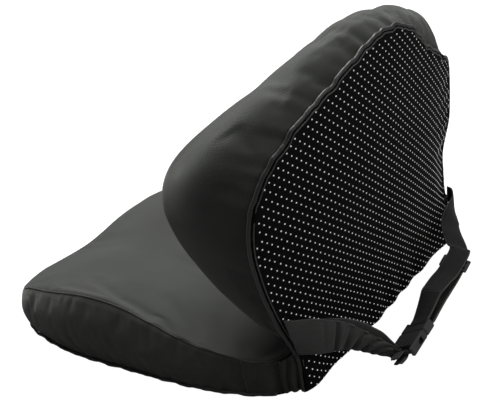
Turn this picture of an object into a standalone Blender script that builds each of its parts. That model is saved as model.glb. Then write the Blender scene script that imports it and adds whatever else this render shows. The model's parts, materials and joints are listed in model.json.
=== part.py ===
# Two-part seat and lumbar support cushion with a rear fixing strap.
# A moulded-foam seat pad and a moulded-foam back pad, each in a zipped stretch
# cover, share one fabric hinge along the bottom rear edge.  A webbing strap
# with a side-release buckle and a tri-glide adjuster closes behind the back.
#
# Frame: metres, +Z up, X across the seat, -Y towards the sitter's knees.
# Origin: middle of the hinge line, on the plane the seat rests on.
# The "near" side is +X and the "far" side is -X.

import math
import bpy
import bmesh
from mathutils import Matrix, Vector

# ------------------------------------------------------------- shared sizes
COVER_T = 0.0015          # cover fabric with its thin lining
FOAM_GAP = 0.0031         # foam surface below the cover's outer surface
SIDES = 40                # facets round a cushion
PIPING_SIDES = 64         # points round a piped outline
PIPING_R = 0.0022         # piping cord radius
PIPING_OFFSET = 0.0034    # cord centre outside the seam line
UP = Vector((0, 0, 1))

# ------------------------------------------------------------- start clean
for ob in list(bpy.data.objects):
    bpy.data.objects.remove(ob, do_unlink=True)

parts = bpy.data.collections.new("lumbar_support_cushion")
cutters = bpy.data.collections.new("cutters")
for collection in (parts, cutters):
    bpy.context.scene.collection.children.link(collection)


# ------------------------------------------------------------- materials
def material(name, colour, roughness, metallic=0.0):
    mat = bpy.data.materials.new(name)
    mat.use_nodes = True
    inputs = mat.node_tree.nodes["Principled BSDF"].inputs
    inputs["Base Color"].default_value = (*colour, 1.0)
    inputs["Roughness"].default_value = roughness
    inputs["Metallic"].default_value = metallic
    return mat


KNIT = material("charcoal_knit", colour=(0.050, 0.053, 0.050), roughness=0.85)
GRIP = material("black_grip_fabric", colour=(0.010, 0.010, 0.011), roughness=0.75)
FOAM = material("foam", colour=(0.62, 0.60, 0.52), roughness=0.95)
CORD = material("piping_cord", colour=(0.030, 0.032, 0.031), roughness=0.55)
WEBBING = material("black_webbing", colour=(0.012, 0.013, 0.013), roughness=0.70)
ELASTIC = material("gathered_elastic", colour=(0.030, 0.031, 0.030), roughness=0.75)
PLASTIC = material("black_plastic", colour=(0.020, 0.020, 0.022), roughness=0.40)
ZIP_TAPE = material("zip_tape", colour=(0.014, 0.014, 0.015), roughness=0.80)
ZIP_METAL = material("zip_slider_metal", colour=(0.10, 0.10, 0.105), roughness=0.35,
                     metallic=0.9)


# ------------------------------------------------------------- curves
def clamp(x, low=0.0, high=1.0):
    return min(max(x, low), high)


def follow(table, x):
    """Value at x of the smooth curve through a table of (xs, ys)."""
    xs, ys = table
    x = clamp(x, xs[0], xs[-1])
    last = len(xs) - 1
    k = 0
    while k < last - 1 and x >= xs[k + 1]:
        k += 1

    def slope(i):
        if i == 0:
            return (ys[1] - ys[0]) / (xs[1] - xs[0])
        if i == last:
            return (ys[-1] - ys[-2]) / (xs[-1] - xs[-2])
        before, after = xs[i] - xs[i - 1], xs[i + 1] - xs[i]
        slope_before = (ys[i] - ys[i - 1]) / before
        slope_after = (ys[i + 1] - ys[i]) / after
        return (after * slope_before + before * slope_after) / (before + after)

    step = xs[k + 1] - xs[k]
    t = (x - xs[k]) / step
    return ((2 * t**3 - 3 * t**2 + 1) * ys[k]
            + (t**3 - 2 * t**2 + t) * step * slope(k)
            + (-2 * t**3 + 3 * t**2) * ys[k + 1]
            + (t**3 - t**2) * step * slope(k + 1))


def outline(table, sides):
    """Closed outline in metres, evenly spaced, from a half outline in mm.

    The half is mirrored in x = 0; its corners are smoothed by a spline.
    """
    points = [Vector(pair) / 1000.0 for pair in table]
    padded = ([Vector((-points[1].x, points[1].y))] + points
              + [Vector((-points[-2].x, points[-2].y))])
    fine = []
    for a, b, c, d in zip(padded, padded[1:], padded[2:], padded[3:]):
        for j in range(16):
            t = j / 16.0
            fine.append(0.5 * (2 * b + (c - a) * t
                               + (2 * a - 5 * b + 4 * c - d) * t * t
                               + (3 * b - a - 3 * c + d) * t**3))
    fine.append(points[-1])
    run = [0.0]
    for a, b in zip(fine, fine[1:]):
        run.append(run[-1] + (b - a).length)
    half = []
    for i in range(sides // 2 + 1):
        s = run[-1] * i / (sides // 2)
        k = 0
        while k < len(run) - 2 and run[k + 1] < s:
            k += 1
        t = (s - run[k]) / max(run[k + 1] - run[k], 1e-9)
        half.append(fine[k].lerp(fine[k + 1], clamp(t)))
    return half + [Vector((-v.x, v.y)) for v in reversed(half[1:-1])]


# ------------------------------------------------------------- builders
def add_object(name, data, mat=None, collection=parts):
    if mat:
        data.materials.append(mat)
    ob = bpy.data.objects.new(name, data)
    collection.objects.link(ob)
    return ob


def mesh_from(bm, name):
    mesh = bpy.data.meshes.new(name)
    bm.to_mesh(mesh)
    bm.free()
    return mesh


def loft(name, rings, mat, cap_first=False, cap_last=False, orient=None):
    """Skin over closed rings of equal count; an end can be closed.

    orient is a bmesh operator that turns the finished faces.
    """
    bm = bmesh.new()
    rows = [[bm.verts.new(p) for p in ring] for ring in rings]
    n = len(rows[0])
    for row, following in zip(rows, rows[1:]):
        for i in range(n):
            j = (i + 1) % n
            bm.faces.new((row[i], following[i], following[j], row[j]))
    if cap_first:
        centre = bm.verts.new(sum((v.co for v in rows[0]), Vector()) / n)
        for i in range(n):
            bm.faces.new((centre, rows[0][i], rows[0][(i + 1) % n]))
    if cap_last:
        centre = bm.verts.new(sum((v.co for v in rows[-1]), Vector()) / n)
        for i in range(n):
            bm.faces.new((centre, rows[-1][(i + 1) % n], rows[-1][i]))
    if orient:
        bm.normal_update()
        orient(bm, faces=bm.faces)
    mesh = mesh_from(bm, name)
    mesh.shade_smooth()
    return add_object(name, mesh, mat)


def thicken(ob, thickness=COVER_T, offset=-1.0):
    solidify = ob.modifiers.new("thickness", "SOLIDIFY")
    solidify.thickness = thickness
    solidify.offset = offset


def shrink_inside_cover(ob):
    displace = ob.modifiers.new("inside_cover", "DISPLACE")
    displace.direction = "NORMAL"
    displace.mid_level = 0.0
    displace.strength = -FOAM_GAP


def ribbon(name, stations, thickness, mat):
    """Flat strip: stations of (centre, width direction, width)."""
    rings = []
    for i, (centre, across, width) in enumerate(stations):
        before = stations[max(i - 1, 0)][0]
        after = stations[min(i + 1, len(stations) - 1)][0]
        along = (after - before).normalized()
        across = (across - along * across.dot(along)).normalized()
        normal = along.cross(across).normalized()
        rings.append([centre + across * side * width / 2 + normal * face * thickness / 2
                      for side, face in ((1, 1), (-1, 1), (-1, -1), (1, -1))])
    return loft(name, rings, mat, cap_first=True, cap_last=True,
                orient=bmesh.ops.recalc_face_normals)


def piping(name, line, middle, is_open, place):
    """Cord just outside an outline, left out where is_open(point) holds.

    place maps a 2D outline point to its place in space.
    """
    points = []
    for i, o in enumerate(line):
        if is_open(o):
            continue
        tangent = (line[(i + 1) % len(line)] - line[i - 1]).normalized()
        outward = Vector((-tangent.y, tangent.x))
        if outward.dot(o - middle) < 0:
            outward = -outward
        points.append((i, place(o + outward * PIPING_OFFSET)))
    # start the cord just after the opening, wherever that falls in the list
    gap = next((k for k in range(len(points) - 1)
                if points[k + 1][0] - points[k][0] > 1), -1)
    points = [p for _, p in points[gap + 1:] + points[:gap + 1]]

    curve = bpy.data.curves.new(name, "CURVE")
    curve.dimensions = "3D"
    fill_spline(curve, points)
    curve.bevel_depth = PIPING_R
    curve.bevel_resolution = 1
    curve.use_fill_caps = True
    add_object(name, curve, CORD)


def fill_spline(curve, points):
    spline = curve.splines.new("POLY")
    spline.points.add(len(points) - 1)
    for target, p in zip(spline.points, points):
        target.co = (*p, 1.0)
    return spline


def box_mesh(name, size, centre):
    bm = bmesh.new()
    bmesh.ops.create_cube(bm, size=1.0)
    bmesh.ops.scale(bm, vec=size, verts=bm.verts)
    bmesh.ops.translate(bm, vec=centre, verts=bm.verts)
    return mesh_from(bm, name)


def block(name, size, centre, mat, parent=None, bevel=0.0):
    """Box placed in its parent's frame."""
    ob = add_object(name, box_mesh(name, size, centre), mat)
    ob.parent = parent
    if bevel:
        edges = ob.modifiers.new("edges", "BEVEL")
        edges.width = bevel
        edges.segments = 1
        edges.limit_method = "ANGLE"
    return ob


def boolean(ob, operation, name, mesh):
    """Join or cut ob with a hidden helper that shares ob's parent."""
    helper = add_object(name, mesh, collection=cutters)
    helper.parent = ob.parent
    helper.hide_render = True
    helper.display_type = "WIRE"
    modifier = ob.modifiers.new(operation.lower() + "_" + name, "BOOLEAN")
    modifier.operation = operation
    modifier.object = helper
    modifier.solver = "EXACT"


def cut_box(ob, name, size, centre):
    boolean(ob, "DIFFERENCE", name, box_mesh(name, size, centre))


def join_box(ob, name, size, centre):
    boolean(ob, "UNION", name, box_mesh(name, size, centre))


def join_bar(ob, name, radius, length, centre):
    """Add a round bar that lies along y."""
    bm = bmesh.new()
    bmesh.ops.create_cone(bm, cap_ends=True, segments=12, radius1=radius,
                          radius2=radius, depth=length)
    turn = UP.rotation_difference(Vector((0, 1, 0))).to_matrix()
    bmesh.ops.rotate(bm, cent=(0, 0, 0), matrix=turn, verts=bm.verts)
    bmesh.ops.translate(bm, vec=centre, verts=bm.verts)
    mesh = mesh_from(bm, name)
    mesh.shade_smooth()
    mesh.set_sharp_from_angle(angle=math.radians(40))
    boolean(ob, "UNION", name, mesh)


def empty(name, at, x_direction=None, z_direction=None):
    """Empty at a point, turned to the given directions if there are any."""
    ob = add_object(name, None)
    ob.empty_display_size = 0.02
    ob.matrix_world = Matrix.Translation(at)
    if x_direction is not None:
        x = x_direction.normalized()
        y = z_direction.cross(x).normalized()
        z = x.cross(y)
        ob.matrix_world = (Matrix.Translation(at)
                           @ Matrix((x, y, z)).transposed().to_4x4())
    return ob


# ============================================================= back cushion
RECLINE = math.radians(6.3)      # lean of the rear panel from the vertical
HINGE_Z = 0.004                  # fold axis above the rest plane
BACK_MIDDLE = Vector((0, 0.165))  # x, height up the rear panel

# Half outlines, (x, height up the rear panel) in mm, from the top middle
# round the +X side to the bottom middle.
BACK_UPPER_OUTLINE = [
    (0, 306), (18, 305), (38, 299), (60, 292), (86, 281), (112, 271), (135, 257),
    (155, 241), (170, 223), (180, 200), (184, 172), (182, 143), (178, 112), (172, 82)]
REAR_PANEL_OUTLINE = BACK_UPPER_OUTLINE + [
    (165, 58), (162, 40), (165, 24), (167, 15), (158, 10), (120, 10), (60, 10), (0, 10)]
BACK_CUSHION_OUTLINE = BACK_UPPER_OUTLINE + [
    (166, 66), (156, 57), (130, 53), (60, 51), (0, 51)]

# Each table: heights up the rear panel, then the value at each height (m).
EDGE_DEPTH = (      # cushion depth at its edge
    [.050, .057, .069, .080, .093, .105, .117, .130, .165, .20, .225, .241,
     .255, .270, .287, .306],
    [.008, .024, .058, .080, .096, .108, .117, .123, .131, .130, .123, .113,
     .101, .088, .079, .071])
MIDDLE_DEPTH = (    # cushion depth at its middle
    [.050, .062, .080, .10, .13, .16, .19, .22, .25, .28, .306],
    [.018, .062, .106, .134, .156, .160, .154, .140, .122, .100, .080])
BACK_BULGE = (      # outward bulge of the side
    [.05, .10, .16, .20, .24, .28, .306],
    [.004, .006, .007, .009, .015, .020, .020])
WRAP = (            # forward curve of the panel towards its sides, per x squared
    [0, .05, .09, .13, .18, .25, .31],
    [0, .28, .50, .66, .72, .70, .60])

EDGE_SHARE = 0.90         # share of the edge depth reached before the crown
EDGE_INSET = 0.011        # front edge inside the outline
EDGE_INSET_DEPTH = .05    # edge depth from which the full inset applies
BULGE_FULL_DEPTH = .06    # edge depth from which the full bulge applies
WALL_START = .0032        # cushion wall starts this far in front of the panel
FOAM_REAR = .0022         # foam's rear face in front of the panel
BACK_CORD_FORWARD = .0012  # piping centre in front of the panel
BACK_CORD_OPEN = (.1665, .016)   # piping open within this |x| and height


def on_back(x, height, forward):
    """Point at x across, a height up the rear panel and forward of it."""
    return Vector((x, height * math.sin(RECLINE) - forward * math.cos(RECLINE),
                   height * math.cos(RECLINE) + forward * math.sin(RECLINE)))


def on_panel(q, forward=0.0):
    """Outline point q placed on the wrapped rear panel, or forward of it."""
    return on_back(q.x, q.y, follow(WRAP, q.y) * q.x * q.x + forward)


back_line = outline(BACK_CUSHION_OUTLINE, SIDES)
back_outward = [(o - BACK_MIDDLE).normalized() for o in back_line]
back_depth = [follow(EDGE_DEPTH, o.y) * EDGE_SHARE for o in back_line]
back_front = [o - d * EDGE_INSET * clamp(depth / EDGE_INSET_DEPTH, .3, 1)
              for o, d, depth in zip(back_line, back_outward, back_depth)]


def panel_rings(line, scales, forward=0.0):
    """Rings parallel to the rear panel, an outline scaled about its middle."""
    return [[on_panel(BACK_MIDDLE.lerp(o, s), forward) for o in line] for s in scales]


def back_wall(fractions):
    """Rings of the side wall, 0 at the rear panel and 1 at the front edge."""
    rings = []
    for t in fractions:
        ring = []
        for o, front, d, depth in zip(back_line, back_front, back_outward, back_depth):
            q = (o.lerp(front, t**1.5)
                 + d * follow(BACK_BULGE, o.y) * math.sin(math.pi * t)
                 * clamp(depth / BULGE_FULL_DEPTH))
            ring.append(on_panel(q, WALL_START + (depth - WALL_START) * t))
        rings.append(ring)
    return rings


def back_crown():
    """Rings of the front face, from near its edge inwards."""
    rings = []
    for s in (.93, .82, .66, .48, .28):
        rise = (1 - s**4)**0.55
        ring = []
        for front, depth in zip(back_front, back_depth):
            q = BACK_MIDDLE.lerp(front, s)
            ring.append(on_panel(q, depth + (follow(MIDDLE_DEPTH, q.y) - depth) * rise))
        rings.append(ring)
    return rings


fold_axis = empty("fold_axis", Vector((0, 0, HINGE_Z)))

thicken(loft("back_front_cover", back_wall((0, .25, .5, .75, .93, 1)) + back_crown(),
             KNIT, cap_last=True))

# moulded foam: the same form, closed behind, under the cover
shrink_inside_cover(loft(
    "back_foam_core",
    panel_rings(back_line, (.3, .65, .97), FOAM_REAR)
    + back_wall((.04, .25, .5, .75, .93, 1)) + back_crown(),
    FOAM, cap_first=True, cap_last=True))

# the rings run inwards, which leaves the faces looking forward, so they are
# reversed to look to the rear
thicken(loft("back_rear_panel",
             panel_rings(outline(REAR_PANEL_OUTLINE, SIDES), (1, .8, .55, .3)),
             GRIP, cap_last=True, orient=bmesh.ops.reverse_faces))

# cord round the rear panel, open along the hinge line
piping("back_piping", outline(REAR_PANEL_OUTLINE, PIPING_SIDES), BACK_MIDDLE,
       is_open=lambda o: abs(o.x) < BACK_CORD_OPEN[0] and o.y < BACK_CORD_OPEN[1],
       place=lambda q: on_panel(q, BACK_CORD_FORWARD))

# ============================================================= seat cushion
SEAT_MIDDLE = Vector((0, -0.21))
SEAT_SEAM_INSET = 0.012   # top seam inside the outline, at SEAM_INSET_H high
SEAM_INSET_H = .06
SEAT_BULGE = 0.010        # outward bulge of the side
BULGE_START_H = .03       # seam height at which the bulge starts
BULGE_RUN_H = .04         # further height over which it grows to the full
SIDE_START_Z = .0026      # foot of the side band
FOAM_BASE_Z = SIDE_START_Z - .0012
SEAT_CORD_Z = .0025
SEAT_CORD_OPEN_Y = -.030  # piping open behind this line

# Half outline, (x, y) in mm, from the rear middle round the +X side.
SEAT_OUTLINE = [
    (0, -13), (90, -13), (150, -13), (170, -16), (183, -29), (193, -49),
    (207, -88), (220, -140), (230, -190), (239, -240), (245, -290), (245, -340),
    (238, -388), (214, -416), (162, -426), (70, -429), (0, -430)]

# Each table: places, then the value at each place (m).
SEAM_HEIGHT = (     # y, height of the top seam round the side
    [-.425, -.405, -.38, -.35, -.31, -.27, -.23, -.19, -.15, -.118, -.084,
     -.059, -.03, 0],
    [.058, .061, .066, .072, .079, .084, .084, .078, .067, .056, .047,
     .041, .037, .036])
FRONT_DIP = (       # |x|, drop of the seam along the front edge
    [0, .03, .058, .083, .106, .128, .148, .167, .185, .21],
    [.004, .004, .007, .012, .0155, .0155, .014, .012, .010, .010])
TOP_HEIGHT = (      # y, height of the top along the middle
    [-.425, -.39, -.35, -.30, -.24, -.18, -.12, -.06, 0],
    [.052, .063, .069, .072, .068, .059, .050, .041, .036])
FRONT_DIP_Y = -.37        # the dip starts here and is full FRONT_DIP_RUN further
FRONT_DIP_RUN = .04
TOP_LIFT = .006           # padding added over the whole top

GROOVE_X = .105           # thigh grooves: place, half width and depth
GROOVE_SPREAD = .05
GROOVE_DEPTH = .015
RISE_SPREAD = .045        # centre rise: half width and height
RISE_HEIGHT = .010
SHAPING_Y = -.10          # grooves and rise start here, full SHAPING_RUN further
SHAPING_RUN = .20

seat_line = outline(SEAT_OUTLINE, SIDES)
seat_outward = [(o - SEAT_MIDDLE).normalized() for o in seat_line]
# the front edge dips under each thigh, either side of the centre
seam_height = [follow(SEAM_HEIGHT, o.y)
               - follow(FRONT_DIP, abs(o.x)) * clamp((FRONT_DIP_Y - o.y) / FRONT_DIP_RUN)
               for o in seat_line]
seam_line = [o - d * SEAT_SEAM_INSET * clamp(h / SEAM_INSET_H, .3, 1.5)
             for o, d, h in zip(seat_line, seat_outward, seam_height)]


def seat_side(start, end, steps):
    """Rings of the side, between fractions of the way from base to seam."""
    rings = []
    for k in range(steps + 1):
        t = start + (end - start) * k / steps
        ring = []
        for o, seam, d, h in zip(seat_line, seam_line, seat_outward, seam_height):
            q = (o.lerp(seam, t) + d * SEAT_BULGE * math.sin(math.pi * t)
                 * clamp((h - BULGE_START_H) / BULGE_RUN_H))
            ring.append(Vector((q.x, q.y, SIDE_START_Z + (h - SIDE_START_Z) * t)))
        rings.append(ring)
    return rings


def seat_height(q, h, s):
    """Top surface: thigh grooves either side of a low centre rise."""
    front = clamp((SHAPING_Y - q.y) / SHAPING_RUN)
    groove = GROOVE_DEPTH * math.exp(-((abs(q.x) - GROOVE_X) / GROOVE_SPREAD)**2)
    rise = RISE_HEIGHT * math.exp(-(q.x / RISE_SPREAD)**2)
    z = follow(TOP_HEIGHT, q.y) + TOP_LIFT - groove * front + rise * front
    return h + (z - h) * (1 - s**5)


def seat_top(scales):
    """Rings of the top, the seam line scaled about the seat's middle."""
    rings = []
    for s in scales:
        ring = []
        for seam, h in zip(seam_line, seam_height):
            q = SEAT_MIDDLE.lerp(seam, s)
            ring.append(Vector((q.x, q.y, seat_height(q, h, s))))
        rings.append(ring)
    return rings


thicken(loft("seat_side_band", seat_side(0, .955, 3), KNIT))
thicken(loft("seat_top_cover", seat_top((.992, .9, .75, .55, .3)), KNIT, cap_last=True))

base_rings = [[Vector((*SEAT_MIDDLE.lerp(o, s), FOAM_BASE_Z)) for o in seat_line]
              for s in (.3, .65, .97)]
shrink_inside_cover(loft(
    "seat_foam_core",
    base_rings + seat_side(.04, .94, 2) + seat_top((.97, .88, .75, .55, .3)),
    FOAM, cap_first=True, cap_last=True))


def build_seat_base():
    """Flat anti-slip base: an outline given the thickness of the fabric."""
    curve = bpy.data.curves.new("seat_base_panel", "CURVE")
    curve.dimensions = "2D"
    curve.fill_mode = "BOTH"
    curve.extrude = COVER_T / 2
    spline = fill_spline(curve, [(o.x, o.y, 0) for o in seat_line])
    spline.use_cyclic_u = True
    base = add_object("seat_base_panel", curve, GRIP)
    base.location = (0, 0, COVER_T / 2)


build_seat_base()

# cord round the base, open along the hinge line
piping("seat_piping", outline(SEAT_OUTLINE, PIPING_SIDES), SEAT_MIDDLE,
       is_open=lambda o: o.y > SEAT_CORD_OPEN_Y,
       place=lambda q: Vector((q.x, q.y, SEAT_CORD_Z)))

# ============================================================= fabric hinge
HINGE_T = .0010
HINGE_BEND_R = 0.0055
HINGE_BEND_Y = .0010      # where the flat part starts to turn up
HINGE_STATIONS_X = (-.155, -.08, 0, .08, .155)


def build_hinge():
    """Strip lying flat under the fold, then turning up behind the rear
    panel's lower edge."""
    section = [(y, 0) for y in (-.0124, -.0060, HINGE_BEND_Y)]
    for k in range(1, 6):
        a = math.radians(90 * k / 5)
        section.append((HINGE_BEND_Y + HINGE_BEND_R * math.sin(a),
                        HINGE_BEND_R * (1 - math.cos(a))))
    section += [(.0056, .0082), (.0032, .0108)]
    bm = bmesh.new()
    rows = [[bm.verts.new((x, y, z)) for y, z in section] for x in HINGE_STATIONS_X]
    for row, following in zip(rows, rows[1:]):
        for i in range(len(section) - 1):
            bm.faces.new((row[i], following[i], following[i + 1], row[i + 1]))
    bmesh.ops.recalc_face_normals(bm, faces=bm.faces)
    mesh = mesh_from(bm, "hinge_strip")
    mesh.shade_smooth()
    # the thickness goes upwards, whichever way the faces look
    offset = 1.0 if mesh.polygons[0].normal.z > 0 else -1.0
    thicken(add_object("hinge_strip", mesh, GRIP), HINGE_T, offset)


build_hinge()

# ============================================================= zips
ZIP_TAPE_W = .014
ZIP_TAPE_T = .0012
SEAT_ZIP_L = .236
SEAT_ZIP_Y = -.4358
SEAT_ZIP_Z = .0135
SEAT_SLIDER_X = .104
SEAT_SLIDER_Y = -.4387

# back zip: heights up the rear panel, distances off the cover
BACK_ZIP_FOOT = .080
BACK_ZIP_L = .150
BACK_ZIP_STEPS = 10
BACK_TAPE_OFF = .0018
BACK_SLIDER_HEIGHT = .125
BACK_SLIDER_TOWARDS = .190    # the slider's z axis points to this height
BACK_SLIDER_OFF = .0068


def zip_slider(name, parent):
    """Slider body, its pull tab flat against it as one moulding, and an eye."""
    body = block(name, (.011, .0032, .0085), (0, 0, 0), ZIP_METAL, parent, bevel=.0008)
    join_box(body, name + "_pull", (.0050, .0012, .0200), (0, -.0021, -.0020))
    cut_box(body, name + "_eye", (.0024, .004, .0080), (0, 0, .0050))


block("seat_zip_tape", (SEAT_ZIP_L, ZIP_TAPE_T, ZIP_TAPE_W),
      (0, SEAT_ZIP_Y, SEAT_ZIP_Z), ZIP_TAPE)
zip_slider("seat_zip_slider",
           empty("seat_zip_start", Vector((SEAT_SLIDER_X, SEAT_SLIDER_Y, SEAT_ZIP_Z))))

# the two wall rings between which the back zip lies
zip_rings = back_wall((.25, .50))


def far_side(height, t, off):
    """Point of the far (-X) wall at a height, t across the strip, off it."""
    for i in range(SIDES // 2, SIDES - 1):
        low, high = back_line[i].y, back_line[i + 1].y
        if low <= height <= high:
            k = (height - low) / (high - low)
            p, q = (ring[i].lerp(ring[i + 1], k) for ring in zip_rings)
            normal = (zip_rings[0][i + 1] - zip_rings[0][i]).cross(q - p)
            normal.normalize()
            if normal.x > 0:
                normal.negate()
            return p.lerp(q, t) + normal * off
    raise ValueError(height)


def across_far_side(height):
    return far_side(height, 1, 0) - far_side(height, 0, 0)


# tape that hugs the far side of the back cover
zip_heights = [BACK_ZIP_FOOT + BACK_ZIP_L * k / BACK_ZIP_STEPS
               for k in range(BACK_ZIP_STEPS + 1)]
ribbon("back_zip_tape",
       [(far_side(v, .5, BACK_TAPE_OFF), across_far_side(v), ZIP_TAPE_W)
        for v in zip_heights], ZIP_TAPE_T, ZIP_TAPE)
slider_at = far_side(BACK_SLIDER_HEIGHT, .5, BACK_SLIDER_OFF)
zip_slider("back_zip_slider",
           empty("back_zip_start", slider_at, across_far_side(BACK_SLIDER_HEIGHT),
                 far_side(BACK_SLIDER_TOWARDS, .5, BACK_SLIDER_OFF) - slider_at))

# ============================================================= near strap
STRAP_AXIS_Z = 0.060      # height of the empty that carries the strap
ELASTIC_T = .0020
BUCKLE_LEAN = 60          # degrees the buckle's width leans from upright


def lean(degrees):
    """Width direction of the strap, turned from upright towards the rear."""
    a = math.radians(degrees)
    return Vector((0, math.sin(a), math.cos(a)))


# Gathered elastic, from the piping seam to the buckle.
# Columns: centre, lean of the width in degrees, width.
NEAR_ROOT = [((.1610, .0085, .0735), 0, .050),
             ((.1572, .0140, .0705), 0, .049),
             ((.1525, .0193, .0672), 0, .047)]
NEAR_ELASTIC = [((.1474, .0259, .0640), 2, .046),
                ((.1425, .0330, .0595), 8, .044),
                ((.1335, .0455, .0505), 20, .040),
                ((.1240, .0580, .0410), 42, .032),
                ((.1140, .0690, .0345), BUCKLE_LEAN, .022)]
for name, stations in (("strap_near_root", NEAR_ROOT),
                       ("strap_near_elastic", NEAR_ELASTIC)):
    ribbon(name, [(Vector(at), lean(degrees), width) for at, degrees, width in stations],
           ELASTIC_T, ELASTIC)

strap_axis = empty("strap_axis", Vector((0, 0, STRAP_AXIS_Z)))

# ============================================================= buckle
# Side-release buckle in its own frame: x along the strap from the socket's
# tail to the plug's, y across its width, origin near the socket's bar.
BUCKLE_AT = Vector((0.1035, 0.0740, 0.0310))
BUCKLE_DIR = Vector((-1.0, -0.09, 0.0)).normalized()
BUCKLE_NORMAL = BUCKLE_DIR.cross(lean(BUCKLE_LEAN)).normalized()
BUCKLE_W = 0.030
BUCKLE_T = 0.009
BUCKLE_BEVEL = .0014
OPENING_W = .0236         # tail openings and socket mouth
CAVITY_T = .0052          # thickness of the mouth, window and arm pockets
THROUGH = .02             # cutter long enough to pass right through
BAR_L = .0260
PLUG_BAR_X = .0435
TONGUE_T = .0040          # thickness of the tongue and the arms
ARM_Y = .0088             # arms either side of the middle
ARM_ROOT_X = .0293

buckle_frame = empty("buckle_frame", BUCKLE_AT, BUCKLE_DIR, BUCKLE_NORMAL)

# socket: a body with a bar at its tail
socket = block("buckle_socket", (.0300, BUCKLE_W, BUCKLE_T), (.0130, 0, 0),
               PLASTIC, buckle_frame, BUCKLE_BEVEL)
cut_box(socket, "socket_tail", (.0080, OPENING_W, THROUGH), (.0010, 0, 0))
join_bar(socket, "socket_bar", radius=.0015, length=BAR_L, centre=(-.0003, 0, 0))
cut_box(socket, "socket_mouth", (.0230, OPENING_W, CAVITY_T), (.0205, 0, 0))
cut_box(socket, "socket_window", (.0075, .05, CAVITY_T), (.0155, 0, 0))

# plug: a frame with a bar, and a centre tongue in the socket
plug = block("buckle_plug", (.0165, BUCKLE_W, BUCKLE_T), (.0368, 0, 0),
             PLASTIC, buckle_frame, BUCKLE_BEVEL)
join_box(plug, "plug_tongue", (.0170, .0050, TONGUE_T), (.0220, 0, 0))
cut_box(plug, "plug_tail", (.0090, OPENING_W, THROUGH), (.0425, 0, 0))
join_bar(plug, "plug_bar", radius=.0014, length=BAR_L, centre=(PLUG_BAR_X, 0, 0))

# flexing arms, each turning about its root in a pocket of the plug
for side, sign in (("upper", 1), ("lower", -1)):
    cut_box(plug, "plug_pocket_" + side, (.0052, .0056, CAVITY_T),
            (.0289, sign * ARM_Y, 0))
    arm_root = buckle_frame.matrix_world @ Vector((ARM_ROOT_X, sign * ARM_Y, 0))
    arm_axis = empty("arm_axis_" + side, arm_root, BUCKLE_DIR, BUCKLE_NORMAL)
    arm = block("buckle_arm_" + side, (.0170, .0034, TONGUE_T), (-.0077, 0, 0),
                PLASTIC, arm_axis, bevel=.0005)
    join_box(arm, "arm_pad_" + side, (.0060, .0040, TONGUE_T), (-.0135, sign * .0004, 0))

# ============================================================= webbing
WEB_W = 0.022             # webbing width
WEB_T = 0.0013            # webbing thickness
LOOP_R = .0022            # webbing's turn round the plug bar
LOOP_TAIL = .0100         # ends of the loop beyond the bar
LOOP_THINNING = .7        # loop thickness as a share of the webbing's

GLIDE_AT = Vector((-0.0406, 0.0590, 0.0376))
GLIDE_LEAN = 100          # degrees the adjuster's width leans from upright
GLIDE_L = 0.019
GLIDE_W = 0.029
GLIDE_T = 0.0030
GLIDE_SLOT = (.0050, .0234, THROUGH)
GLIDE_SLOT_X = .0045      # slots either side of the middle
GLIDE_REACH = GLIDE_DIR = Vector((-1, -.12, .05)).normalized()
GLIDE_REACH = GLIDE_DIR * .018    # webbing runs straight this far each way
GLIDE_UP = -GLIDE_DIR.cross(lean(GLIDE_LEAN)).normalized()
LAYER_OFF = .0029         # each layer off the adjuster's middle plane
MERGE_OFF = .0017         # outer layer where it runs down towards the seam


def build_plug_loop():
    """Webbing looped through the plug, moving with it."""
    frame = buckle_frame.matrix_world
    across = (frame.to_3x3() @ Vector((0, 1, 0))).normalized()
    section = [(LOOP_TAIL, -LOOP_R)]
    for k in range(9):
        a = math.radians(-90 + 180 * k / 8)
        section.append((-LOOP_R * math.cos(a), LOOP_R * math.sin(a)))
    section.append((LOOP_TAIL, LOOP_R))
    ribbon("strap_plug_loop",
           [(frame @ Vector((PLUG_BAR_X + x, 0, z)), across, WEB_W) for x, z in section],
           WEB_T * LOOP_THINNING, WEBBING)


build_plug_loop()

# Long webbing: outer layer to the far seam, return layer to the adjuster.
# Columns: centre line, lean of the width in degrees, outer layer's offset.
WEBBING_RUN = [
    (Vector((.0180, .0650, .0340)), 84, LAYER_OFF),
    (Vector((-.0040, .0628, .0352)), 92, LAYER_OFF),
    (GLIDE_AT - GLIDE_REACH, GLIDE_LEAN, LAYER_OFF),
    (GLIDE_AT + GLIDE_REACH, GLIDE_LEAN, LAYER_OFF),
    (Vector((-.0700, .0480, .0386)), 106, MERGE_OFF),
    (Vector((-.0880, .0345, .0395)), 110, MERGE_OFF),
    (Vector((-.1090, .0215, .0410)), 118, 0),
    (Vector((-.1200, .0170, .0421)), 136, 0),
    (Vector((-.1320, .0125, .0432)), 158, 0),
    (Vector((-.1525, .0065, .0446)), 178, 0)]
FAR_ROOT = [(-.1545, .0057, .0447), (-.1640, .0028, .0450), (-.1688, .0008, .0450)]

ribbon("strap_webbing_outer",
       [(p + GLIDE_UP * off, lean(degrees), WEB_W) for p, degrees, off in WEBBING_RUN],
       WEB_T, WEBBING)
ribbon("strap_webbing_return",
       [(p - GLIDE_UP * off, lean(degrees), WEB_W) for p, degrees, off in WEBBING_RUN[:4]],
       WEB_T, WEBBING)
ribbon("strap_far_root", [(Vector(p), UP, WEB_W) for p in FAR_ROOT], WEB_T, WEBBING)

# tri-glide adjuster, between the two layers
glide = block("tri_glide", (GLIDE_L, GLIDE_W, GLIDE_T), (0, 0, 0), PLASTIC,
              empty("glide_frame", GLIDE_AT, GLIDE_DIR, -GLIDE_UP), bevel=.0009)
for letter, x in (("a", -GLIDE_SLOT_X), ("b", GLIDE_SLOT_X)):
    cut_box(glide, "glide_slot_" + letter, GLIDE_SLOT, (x, 0, 0))


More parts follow.
